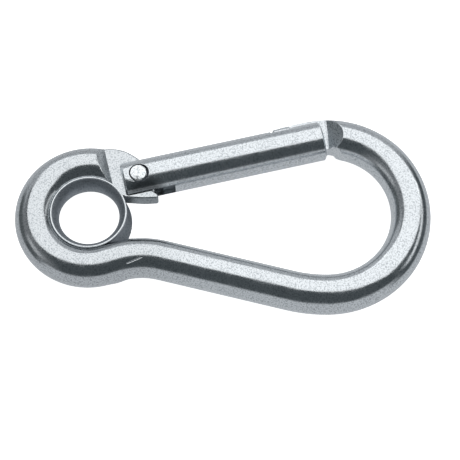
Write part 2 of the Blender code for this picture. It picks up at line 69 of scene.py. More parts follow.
Point = tuple[float, float]
Triple = tuple[float, float, float]
Colour = tuple[float, float, float, float]
Test = Callable[[Vector], bool]

MM = 0.001

# Fineness of round surfaces and rounded edges
BAR_SIDES = 72
BEND_STEP = math.radians(2.5)
CREASE_STEP = math.radians(0.8)
TURNED_SIDES = 96
ROUND_STEPS = 8
RIM_STEPS = 6
EDGE_STEPS = 2
SMOOTH_UNDER = math.radians(32)

# How far a cut runs past what it cuts, and how far a joined form reaches into the bar
OVERRUN = 4.0 * MM
SUNK = 0.2 * MM

# Points and slopes taken as one, and the share of a broken edge within which points are welded first
SAME_POINT = 1e-7
SAME_SLOPE = 0.01
WELD_SHARE = 0.1

# How fine the noises of a finish are, and the spans of noise, and of turn at an edge, over which it changes
WAVE_DETAIL = 1.0
LINE_DETAIL = 1.0
PIT_DETAIL = 2.0
PATCH_DETAIL = 3.0
SPECKLE_SPAN = (0.34, 0.54)
PATCH_SPAN = (0.35, 0.65)
WORN_SPAN = (0.99, 0.90)


class Cut(Enum):
    """What a tool does to the piece that it meets."""

    TAKE_OFF = "DIFFERENCE"
    JOIN = "UNION"


class Axis(Enum):
    """The line that a turned form is turned about."""

    ALONG_GATE = (0.0, math.pi / 2, 0.0)
    UPRIGHT = (0.0, 0.0, 0.0)


class Body(Enum):
    """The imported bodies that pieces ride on."""

    FRAME = "frame"
    GATE = "gate"
    PLUNGER = "plunger"


class BarSlot(IntEnum):
    """The order of the bar's finishes on its mesh."""

    BAR = 0
    TANG_RAMP = 1
    NOSE_RAMP = 2
    LIP_SIDE = 3


def unit(angle: float) -> Vector:
    """The level direction at an angle from X."""
    return Vector((math.cos(angle), math.sin(angle), 0))


def left_of(heading: float) -> Vector:
    """The level direction a quarter turn to the left of a heading."""
    return unit(heading + math.pi / 2)


def arc(centre: Point, radius: float, start: float, end: float, steps: int) -> list[Point]:
    """Points of an arc in the plane.

    Args:
        centre: The middle of the arc's circle.
        radius: The circle's radius.
        start: The angle that the arc starts at.
        end: The angle that the arc ends at.
        steps: How many straight steps stand for the arc.

    Returns:
        The points, both ends included.
    """
    angles = [start + (end - start) * i / steps for i in range(steps + 1)]
    return [(centre[0] + radius * math.cos(a), centre[1] + radius * math.sin(a)) for a in angles]


def round_corner(before: Point, corner: Point, after: Point, radius: float) -> list[Point]:
    """The arc that rounds a corner between two straight sides.

    Args:
        before: A point on the side that comes in.
        corner: The sharp corner.
        after: A point on the side that goes out.
        radius: The arc's radius.

    Returns:
        The arc's points.
    """
    sharp = Vector(corner)
    one = (Vector(before) - sharp).normalized()
    two = (Vector(after) - sharp).normalized()
    half = one.angle(two) / 2
    centre = sharp + (one + two).normalized() * (radius / math.sin(half))
    touch = sharp + one * (radius / math.tan(half))
    leave = sharp + two * (radius / math.tan(half))
    start = math.atan2(touch.y - centre.y, touch.x - centre.x)
    turn = math.atan2(leave.y - centre.y, leave.x - centre.x) - start
    turn = (turn + math.pi) % math.tau - math.pi
    return arc(tuple(centre), radius, start, start + turn, ROUND_STEPS)


def anywhere(place: Vector) -> bool:
    """Takes in every place on a form."""
    return True


def named(name: str) -> Object:
    """Names the object that was just made.

    Args:
        name: What it and its data are called.

    Returns:
        The object.
    """
    form = bpy.context.object
    form.name = name
    form.data.name = name
    return form


def work_on(piece: Object) -> None:
    """Selects one piece alone and makes it the active one.

    Args:
        piece: The piece.
    """
    bpy.ops.object.select_all(action="DESELECT")
    piece.select_set(True)
    bpy.context.view_layer.objects.active = piece


def clear_picks(piece: Object, kind: str) -> None:
    """Unselects all of a piece's mesh, ready for parts of it to be picked outside edit mode.

    Args:
        piece: The piece.
        kind: Blender's name for what is picked next: points, edges or faces.
    """
    work_on(piece)
    bpy.ops.object.mode_set(mode="EDIT")
    bpy.ops.mesh.select_mode(type=kind)
    bpy.ops.mesh.select_all(action="DESELECT")
    bpy.ops.object.mode_set(mode="OBJECT")


def weld(distance: float) -> None:
    """Makes one of points that lie together, all over the mesh in hand, and leaves it all selected.

    Args:
        distance: How near to each other such points are.
    """
    bpy.ops.mesh.select_all(action="SELECT")
    bpy.ops.mesh.remove_doubles(threshold=distance)
    bpy.ops.mesh.select_all(action="SELECT")


def close_form() -> None:
    """Turns every face of the mesh in hand outwards and leaves edit mode."""
    bpy.ops.mesh.select_all(action="SELECT")
    bpy.ops.mesh.normals_make_consistent(inside=False)
    bpy.ops.object.mode_set(mode="OBJECT")


def settle(piece: Object, place: Matrix = Matrix()) -> Object:
    """Puts a piece in its place and leaves the place in its mesh.

    Args:
        piece: The piece, made in its own frame.
        place: Where that frame stands.

    Returns:
        The same piece, its object at the origin.
    """
    work_on(piece)
    piece.matrix_world = place @ piece.matrix_world
    bpy.ops.object.transform_apply(location=True, rotation=True, scale=True)
    return piece


def apply_modifier(piece: Object, kind: str, settings: dict[str, object]) -> None:
    """Changes a piece's mesh for good by one modifier.

    Args:
        piece: The piece.
        kind: Blender's name for the modifier.
        settings: Values for its fields, by name.
    """
    work_on(piece)
    step = piece.modifiers.new(kind.lower(), kind)
    for key, value in settings.items():
        setattr(step, key, value)
    bpy.ops.object.modifier_apply(modifier=step.name)


def round_rims(piece: Object, width: float, part: Test = anywhere, steps: int = RIM_STEPS) -> None:
    """Rounds the edges that lie level, which are the two rims of an upright form.

    Args:
        piece: The form.
        width: How far its rims are rounded.
        part: The part of the rims that is rounded, as a test on an edge's middle.
        steps: How many flats stand for the round, 1 for a chamfer.
    """
    clear_picks(piece, "EDGE")
    points = piece.data.vertices
    for edge in piece.data.edges:
        one, two = [points[i].co for i in edge.vertices]
        edge.select = abs(one.z - two.z) < SAME_POINT and part((one + two) / 2)
    bpy.ops.object.mode_set(mode="EDIT")
    bpy.ops.mesh.bevel(offset=width, segments=steps, affect="EDGES")
    bpy.ops.object.mode_set(mode="OBJECT")


def trace(name: str, points: Sequence[Vector], closed: bool) -> Object:
    """Draws a line from point to point by extruding a vertex, and leaves it in edit mode, all selected.

    Args:
        name: What the new object is called.
        points: The line's points in order.
        closed: Whether the last point joins the first.

    Returns:
        The new object.
    """
    bpy.ops.object.select_all(action="DESELECT")
    bpy.ops.mesh.primitive_plane_add(size=MM, location=points[0])
    line = settle(named(name))
    bpy.ops.object.mode_set(mode="EDIT")
    bpy.ops.mesh.select_mode(type="VERT")
    bpy.ops.mesh.select_all(action="SELECT")
    bpy.ops.mesh.merge(type="CENTER")
    ahead = [*points[1:], points[0]] if closed else points[1:]
    for here, there in zip(points, ahead):
        bpy.ops.mesh.extrude_region_move(TRANSFORM_OT_translate={"value": there - here})
    weld(SAME_POINT)
    return line


def plate(name: str, outline: Sequence[Point], low: float, high: float, edge_round: float = 0.0) -> Object:
    """A flat outline carried straight up.

    Args:
        name: What the new object is called.
        outline: The plan's corners in order.
        low: The height of the underside.
        high: The height of the top.
        edge_round: How far the two rims are rounded.

    Returns:
        The new object.
    """
    form = trace(name, [Vector((x, y, low)) for x, y in outline], closed=True)
    bpy.ops.mesh.edge_face_add()
    bpy.ops.mesh.extrude_region_move(TRANSFORM_OT_translate={"value": (0, 0, high - low)})
    close_form()
    if edge_round:
        round_rims(form, edge_round)
    return form


def turned(name: str, profile: Sequence[Point], closed: bool, axis: Axis) -> Object:
    """A profile turned once round an axis.

    Args:
        name: What the new object is called.
        profile: Points of (radius, place along the axis).
        closed: Whether the profile is a ring of points, or a line from pole to pole.
        axis: The line that it is turned about.

    Returns:
        The new object.
    """
    form = trace(name, [Vector((radius, 0, along)) for radius, along in profile], closed)
    bpy.ops.mesh.spin(steps=TURNED_SIDES, angle=math.tau, center=(0, 0, 0), axis=(0, 0, 1))
    weld(SAME_POINT)
    close_form()
    form.rotation_euler = axis.value
    return settle(form)


def rod(name: str, radius: float, low: float, high: float, axis: Axis, chamfer: float = 0.0) -> Object:
    """A solid round bar with chamfered end edges.

    Args:
        name: What the new object is called.
        radius: The bar's radius.
        low: Where it starts along its axis.
        high: Where it ends along its axis.
        axis: The line that it stands along.
        chamfer: How far the end edges are cut back.

    Returns:
        The new object.
    """
    bpy.ops.object.select_all(action="DESELECT")
    bpy.ops.mesh.primitive_cylinder_add(
        vertices=TURNED_SIDES, radius=radius, depth=high - low, location=(0, 0, (low + high) / 2)
    )
    form = settle(named(name))
    if chamfer:
        round_rims(form, chamfer, steps=1)
    form.rotation_euler = axis.value
    return settle(form)


def dent(piece: Object, place: Vector, push: Vector, reach: float) -> None:
    """Pushes the surface in round one place.

    Args:
        piece: The piece.
        place: The place on its surface.
        push: How far, and which way, the surface goes there.
        reach: How far round the place the surface follows.
    """
    clear_picks(piece, "VERT")
    nearest = min(piece.data.vertices, key=lambda vertex: (vertex.co - place).length_squared)
    nearest.select = True
    bpy.ops.object.mode_set(mode="EDIT")
    bpy.ops.transform.translate(
        value=push, use_proportional_edit=True, proportional_size=reach, proportional_edit_falloff="SMOOTH"
    )
    bpy.ops.object.mode_set(mode="OBJECT")


def shape(target: Object, cut: Cut, tool: Object) -> None:
    """Takes a tool's form off a piece, or joins it to the piece, and clears the tool away."""
    apply_modifier(target, "BOOLEAN", {"operation": cut.value, "solver": "EXACT", "object": tool})
    bpy.data.objects.remove(tool)


def soften(piece: Object, width: float, part: Test = anywhere) -> None:
    """Breaks the sharp edges of a finished form and shades it smooth between them.

    Args:
        piece: The piece.
        width: How far each sharp edge is broken.
        part: The part of the piece whose edges are broken, as a test on an edge's middle.
    """
    work_on(piece)
    bpy.ops.object.mode_set(mode="EDIT")
    bpy.ops.mesh.select_mode(type="EDGE")
    weld(width * WELD_SHARE)
    bpy.ops.mesh.normals_make_consistent(inside=False)
    bpy.ops.mesh.select_all(action="DESELECT")
    bpy.ops.mesh.edges_select_sharp(sharpness=SMOOTH_UNDER)
    bpy.ops.object.mode_set(mode="OBJECT")
    points = piece.data.vertices
    for edge in piece.data.edges:
        one, two = [points[i].co for i in edge.vertices]
        edge.select = edge.select and part((one + two) / 2)
    for face in piece.data.polygons:
        face.select = False
    bpy.ops.object.mode_set(mode="EDIT")
    bpy.ops.mesh.bevel(offset=width, segments=EDGE_STEPS, affect="EDGES", clamp_overlap=False)
    bpy.ops.object.mode_set(mode="OBJECT")
    bpy.ops.object.shade_smooth_by_angle(angle=SMOOTH_UNDER)
    apply_modifier(piece, "WEIGHTED_NORMAL", {"keep_sharp": True})


def hand_over(piece: Object, node: str, slot: str, body: Body, *finishes: Material) -> Object:
    """Dresses a piece and lets it stand for its CAD node.

    Args:
        piece: The finished mesh.
        node: The CAD node that it replaces.
        slot: The record's material slot. It is not used.
        body: The body that it rides on.
        finishes: Its materials, the main one first.

    Returns:
        The same piece.
    """
    piece.data.materials.clear()
    for finish in finishes:
        piece.data.materials.append(finish)
    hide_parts(node)
    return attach(piece, body.value)


def joint(name: str) -> dict:
    """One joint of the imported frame."""
    return next(item for item in frame["joints"] if item["name"] == name)


def linear(colour: str) -> Colour:
    """Makes a linear colour of an sRGB one.

    Args:
        colour: The sRGB colour in hex, with a leading hash.

    Returns:
        Linear red, green, blue and alpha.
    """
    parts = [int(colour[i : i + 2], 16) / 255 for i in (1, 3, 5)]
    red, green, blue = [p / 12.92 if p <= 0.04045 else ((p + 0.055) / 1.055) ** 2.4 for p in parts]
    return (red, green, blue, 1.0)


def add_node(
    tree: NodeTree, kind: str, settings: dict[str | int, object], links: dict[str | int, NodeSocket]
) -> Node:
    """Adds a node with its settings and links.

    Args:
        tree: The tree that it goes into.
        kind: Blender's name for the node.
        settings: Values for its sockets or fields, by name.
        links: Outputs that feed its sockets, by the socket's name.

    Returns:
        The new node.
    """
    node = tree.nodes.new(kind)
    for key, value in settings.items():
        if isinstance(key, int) or key in node.inputs:
            node.inputs[key].default_value = value
        else:
            setattr(node, key, value)
    for key, output in links.items():
        tree.links.new(output, node.inputs[key])
    return node


def remap(
    tree: NodeTree, value: NodeSocket, span: Point, to: Point = (0.0, 1.0), way: str = "LINEAR"
) -> NodeSocket:
    """Carries a value from one span to another and holds it at the ends.

    Args:
        tree: The tree that it goes into.
        value: What is carried over.
        span: The values that it starts and ends at.
        to: What these become.
        way: Blender's name for the way between.

    Returns:
        The new value's output.
    """
    settings = {
        "interpolation_type": way,
        "From Min": span[0],
        "From Max": span[1],
        "To Min": to[0],
        "To Max": to[1],
    }
    return add_node(tree, "ShaderNodeMapRange", settings, {"Value": value}).outputs["Result"]


def noise(tree: NodeTree, place: NodeSocket, size: float, detail: float) -> NodeSocket:
    """The height of a noise with a given size of grain."""
    settings = {"Scale": 1 / size, "Detail": detail}
    return add_node(tree, "ShaderNodeTexNoise", settings, {"Vector": place}).outputs["Fac"]


def mix(tree: NodeTree, settings: dict[str, object], links: dict[str, NodeSocket]) -> NodeSocket:
    """A colour mixed of two, by its settings and by the outputs that feed it."""
    return add_node(tree, "ShaderNodeMixRGB", settings, links).outputs["Color"]


@dataclass(frozen=True)
class DarkPatch:
    """A darker place on a piece, such as painted shade, with its reach and the share of its colour that it
    keeps.
    """

    place: Triple
    reach: float
    kept: float
    core: float = 0.6


@dataclass(frozen=True)
class SteelFinish:
    """Stainless steel, bare metal all through, so its look is its tone, its gloss and its fine relief.

    Pits give the eye a speckled gloss, and patches where the finish is uneven make it glossier here and
    duller there. Waves left by bending and tumbling make the edge of a reflection waver. Edges are rubbed
    bright. Lines, where the tool left them, run along a drawn piece or round a turned one: they are given by
    the size of one line along each axis of the piece's own frame. Pits and waves are given by size and depth,
    and roughness where the steel is glossy and where it is dull.
    """

    name: str
    colour: str
    pit_colour: str
    worn_colour: str
    roughness: Point
    pits: Point
    waves: Point
    patch_size: float = 1.0 * MM
    line_size: Triple | None = None
    line_depth: float = 0.0
    worn_width: float = 0.2 * MM
    dark_patch: DarkPatch | None = None

    def tone(self, tree: NodeTree, place: NodeSocket, pits: NodeSocket) -> NodeSocket:
        """The colour: darker in the pits and in a dark patch, such as painted shade, rubbed bright along the
        edges.

        Args:
            tree: The tree that it goes into.
            place: The place on the piece.
            pits: How high the surface lies among the pits.

        Returns:
            The colour's output.
        """
        colours = {"Color1": linear(self.pit_colour), "Color2": linear(self.colour)}
        speckle = {"Fac": remap(tree, pits, SPECKLE_SPAN)}
        plain = mix(tree, colours, speckle)
        rounded = add_node(tree, "ShaderNodeBevel", {"Radius": self.worn_width}, {}).outputs["Normal"]
        true = add_node(tree, "ShaderNodeNewGeometry", {}, {}).outputs["Normal"]
        turn = add_node(tree, "ShaderNodeVectorMath", {"operation": "DOT_PRODUCT"}, {0: rounded, 1: true})
        worn = {"Fac": remap(tree, turn.outputs["Value"], WORN_SPAN), "Color1": plain}
        colour = mix(tree, {"Color2": linear(self.worn_colour)}, worn)
        if not self.dark_patch:
            return colour
        # The dark patch: the colour darkens towards its middle, and on the gate's cheek it is painted shade
        far = {"operation": "DISTANCE", 1: self.dark_patch.place}
        away = add_node(tree, "ShaderNodeVectorMath", far, {0: place})
        span = (self.dark_patch.core * self.dark_patch.reach, self.dark_patch.reach)
        kept = remap(tree, away.outputs["Value"], span, (self.dark_patch.kept, 1.0))
        return mix(tree, {"blend_type": "MULTIPLY", "Fac": 1.0}, {"Color1": colour, "Color2": kept})

    def relief(self, tree: NodeTree, place: NodeSocket, pits: NodeSocket, frame_of: Matrix) -> NodeSocket:
        """The fine relief: waves, then the tool's lines, then pits.

        Args:
            tree: The tree that it goes into.
            place: The place on the piece.
            pits: How high the surface lies among the pits.
            frame_of: The piece's own frame, which the tool's lines follow.

        Returns:
            The normal's output.
        """
        layers = [(noise(tree, place, self.waves[0], WAVE_DETAIL), self.waves[1])]
        if self.line_size:
            settings = {
                "vector_type": "TEXTURE",
                "Location": frame_of.translation,
                "Rotation": frame_of.to_euler(),
                "Scale": self.line_size,
            }
            own = add_node(tree, "ShaderNodeMapping", settings, {"Vector": place}).outputs["Vector"]
            layers.append((noise(tree, own, 1.0, LINE_DETAIL), self.line_depth))
        layers.append((pits, self.pits[1]))
        under = {}
        for height, depth in layers:
            bump = add_node(tree, "ShaderNodeBump", {"Distance": depth}, {"Height": height, **under})
            under = {"Normal": bump.outputs["Normal"]}
        return under["Normal"]

    def make(self, frame_of: Matrix = Matrix()) -> Material:
        """Builds the material.

        Args:
            frame_of: The piece's own frame, which the tool's lines follow.

        Returns:
            The new material.
        """
        material = bpy.data.materials.new(self.name)
        material.use_nodes = True
        tree = material.node_tree
        shader = tree.nodes["Principled BSDF"]
        shader.inputs["Metallic"].default_value = 1.0
        place = add_node(tree, "ShaderNodeTexCoord", {}, {}).outputs["Object"]
        pits = noise(tree, place, self.pits[0], PIT_DETAIL)
        gloss = remap(tree, noise(tree, place, self.patch_size, PATCH_DETAIL), PATCH_SPAN, self.roughness)
        tree.links.new(self.tone(tree, place, pits), shader.inputs["Base Color"])
        tree.links.new(gloss, shader.inputs["Roughness"])
        tree.links.new(self.relief(tree, place, pits, frame_of), shader.inputs["Normal"])
        return material


# Bar stock bent, coined and then tumbled: soft gloss with a fine speckle, drawn as coarse as the picture
# shows it, and its colour a little darker round the eye
TUMBLED_BAR = SteelFinish(
    name="tumbled_stainless_bar",
    colour="#D0D4D7",
    pit_colour="#ABB0B4",
    worn_colour="#E2E5E7",
    roughness=(0.14, 0.22),
    pits=(0.34 * MM, 0.0040 * MM),
    waves=(2.4 * MM, 0.022 * MM),
    patch_size=3.0 * MM,
    dark_patch=DarkPatch((-33.4 * MM, -0.4 * MM, 5.0 * MM), reach=32.0 * MM, kept=0.89),
)
# Drawn bar, tumbled with the hook: the same gloss, with faint drawing lines along it, and painted shade,
# a dark patch on the cheek beside the lip
DRAWN_GATE = replace(
    TUMBLED_BAR,
    name="drawn_stainless_gate",
    waves=(2.4 * MM, 0.016 * MM),
    line_size=(9.0 * MM, 0.4 * MM, 0.4 * MM),
    line_depth=0.0020 * MM,
    # Painted shade on the cheek beside the lip, as a dark patch
    dark_patch=DarkPatch((-19.4 * MM, 5.56 * MM, 6.0 * MM), reach=6.0 * MM, kept=0.36),
)
# The tang's coined ramp, dull and a little rough, because the tumbler's stones can't get into it
COINED_RAMP = SteelFinish(
    name="coined_stainless_ramp",
    colour="#DADFE2",
    pit_colour="#969CA1",
    worn_colour="#D8DCDE",
    roughness=(0.34, 0.46),
    pits=(0.34 * MM, 0.0070 * MM),
    waves=(1.6 * MM, 0.020 * MM),
    patch_size=2.0 * MM,
)
# The nose's ramp, darker in colour than the tang's ramp and with deeper pits
COINED_NOSE = replace(
    COINED_RAMP,
    name="coined_stainless_nose",
    colour="#BFC5C9",
    pit_colour="#7C8288",
    pits=(0.34 * MM, 0.012 * MM),
)
# The lip's side as the shears left it, between the gate's cheeks, with its colour darker again as painted shade
SHEARED_LIP_PAINTED_SHADE = replace(COINED_NOSE, name="sheared_lip_painted_shade", colour="#9CA2A6", pit_colour="#686E73")
# Tube flared by a press tool: satin and darker, with rings where the tool slid
PRESSED_EYELET = SteelFinish(
    name="pressed_stainless_eyelet",
    colour="#989EA4",
    pit_colour="#80868C",
    worn_colour="#A9AEB2",
    roughness=(0.50, 0.60),
    pits=(0.40 * MM, 0.0020 * MM),
    waves=(2.0 * MM, 0.006 * MM),
    patch_size=3.0 * MM,
    line_size=(40.0 * MM, 40.0 * MM, 0.3 * MM),
    line_depth=0.0015 * MM,
)
# The eyelet's rim, rubbed bright by what hangs on it
BURNISHED_RIM = SteelFinish(
    name="burnished_stainless_rim",
    colour="#D3D7DA",
    pit_colour="#B4B9BC",
    worn_colour="#DFE2E4",
    roughness=(0.16, 0.24),
    pits=(0.40 * MM, 0.0020 * MM),
    waves=(1.5 * MM, 0.006 * MM),
    patch_size=2.0 * MM,
)
# The rivet's head, bright from the hammer, with the blows still to be seen
PEENED_RIVET = SteelFinish(
    name="peened_stainless_rivet",
    colour="#DEE1E3",
    pit_colour="#B4B9BC",
    worn_colour="#EAECED",
    roughness=(0.12, 0.22),
    pits=(0.50 * MM, 0.0080 * MM),
    waves=(0.9 * MM, 0.020 * MM),
)
# The rivet's seat, dull from the drill, with painted shade: its colour made dark, as the hollow round the
# rivet's head lies in shade
DRILLED_SEAT_PAINTED_SHADE = SteelFinish(
    name="drilled_seat_painted_shade",
    colour="#3E4246",
    pit_colour="#2E3236",
    worn_colour="#565B60",
    roughness=(0.45, 0.60),
    pits=(0.30 * MM, 0.0020 * MM),
    waves=(1.0 * MM, 0.004 * MM),
)
# The plunger as it came off the lathe, with fine rings round it
TURNED_PLUNGER = SteelFinish(
    name="turned_stainless_plunger",
    colour="#B0B4B7",
    pit_colour="#989C9F",
    worn_colour="#C6CACC",
    roughness=(0.28, 0.38),
    pits=(0.30 * MM, 0.0020 * MM),
    waves=(1.5 * MM, 0.004 * MM),
    patch_size=1.5 * MM,
    line_size=(0.16 * MM, 40.0 * MM, 40.0 * MM),
    line_depth=0.0040 * MM,
)
# Hard drawn wire, a little grey from its drawing soap
SPRING_WIRE = SteelFinish(
    name="drawn_spring_wire",
    colour="#A8ACAF",
    pit_colour="#85898C",
    worn_colour="#BCC0C3",
    roughness=(0.28, 0.40),
    pits=(0.25 * MM, 0.0020 * MM),
    waves=(1.0 * MM, 0.004 * MM),
)


class BarBender:
    """Draws a round bar on from its first end, bend by bend, in edit mode."""

    def __init__(self, place: Vector, heading: float, radius: float) -> None:
        """Starts the bar with an open ring.

        Args:
            place: The middle of the bar's first end.
            heading: Which way the bar sets off.
            radius: The bar's radius.
        """
        self.place = place
        self.heading = heading
        bpy.ops.object.select_all(action="DESELECT")
        bpy.ops.mesh.primitive_circle_add(
            vertices=BAR_SIDES,
            radius=radius,
            fill_type="NOTHING",
            location=place,
            rotation=(math.pi / 2, 0, heading + math.pi / 2),
        )
        bpy.ops.object.transform_apply(location=True, rotation=True, scale=True)
        bpy.ops.object.mode_set(mode="EDIT")
        bpy.ops.mesh.select_all(action="SELECT")

    def bend_centre(self, radius: float) -> Vector:
        """The middle of a bend to the left that starts here."""
        return self.place + left_of(self.heading) * radius

    def straight(self, length: float, steps: int = 1) -> None:
        """Carries the bar straight on.

        Args:
            length: How far it goes.
            steps: How many lengths of the mesh stand for it.
        """
        reach = unit(self.heading) * length / steps
        for _ in range(steps):
            bpy.ops.mesh.extrude_region_move(TRANSFORM_OT_translate={"value": reach})
        self.place = self.place + reach * steps

    def bend(self, radius: float, turn: float, step: float = BEND_STEP) -> None:
        """Turns the bar.

        Args:
            radius: The bend's radius at the bar's axis.
            turn: How far it turns, to the left where positive.
            step: The turn between two rings of the mesh.
        """
        centre = self.bend_centre(math.copysign(radius, turn))
        steps = max(2, math.ceil(abs(turn) / step))
        bpy.ops.mesh.spin(steps=steps, angle=-turn, center=centre, axis=(0, 0, 1))
        self.place = centre + Matrix.Rotation(turn, 3, "Z") @ (self.place - centre)
        self.heading += turn

    def finish(self, name: str) -> Object:
        """Closes the bar's two ends and leaves edit mode.

        Args:
            name: What the bar is called.

        Returns:
            The bar.
        """
        bpy.ops.mesh.select_all(action="SELECT")
        bpy.ops.mesh.fill_holes(sides=0)
        close_form()
        return named(name)


@dataclass
class Fits:
    """Clearances between pieces that fit or move in each other."""

    running: float = 0.25 * MM
    rivet: float = 0.1 * MM
    seat: float = 0.2 * MM
    tongue: float = 0.3 * MM
    spigot: float = 0.5 * MM
    swing: float = 1.0 * MM
    heel_to_ramp: float = 0.4 * MM
    pressed: float = 0.06 * MM
    head_end: float = 0.6 * MM


class Datum:
    """Where the eye and the gate stand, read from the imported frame."""

    def __init__(self) -> None:
        """Reads the nodes' boxes and the two joints."""
        low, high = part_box("hook_frame")
        self.bar_radius = (high.z - low.z) / 2
        middle = (low.z + high.z) / 2
        low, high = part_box("eyelet")
        self.eye = Vector(((low.x + high.x) / 2, (low.y + high.y) / 2, middle))
        self.rivet = Vector(joint("gate_swing")["pos_m"])
        slide = joint("plunger_slide")["axis"]
        self.direction = math.atan2(slide[1], slide[0])
        self.pivot = self.rivet - self.eye
        self.pivot_angle = math.atan2(self.pivot.y, self.pivot.x)
        self.eye_frame = Matrix.Translation(self.eye)
        self.gate_frame = Matrix.Translation(self.rivet) @ Matrix.Rotation(self.direction, 4, "Z")


@dataclass
class CoiningDie:
    """A die that presses a flat into the bar, in the gate frame.

    The ramp starts at foot and rises to one side, 1 towards the nose and -1 towards the eye. Half is half the
    thickness that is left, and sunk is how much deeper the die goes where a plate fills the flat up again.
    The die's block runs along the gate to reach, and across it from near to far. Lean turns it about its
    foot, wave is how uneven its ramp is, and bite is how deep its sharp corner cuts at the foot.
    """

    foot: float
    slope: float
    side: int
    half: float
    reach: float
    near: float
    far: float
    sunk: float = 0.0
    lean: float = 0.0
    wave: float = 0.0
    bite: float = 0.0
    wave_cuts: int = 11
    wave_seed: int = 7


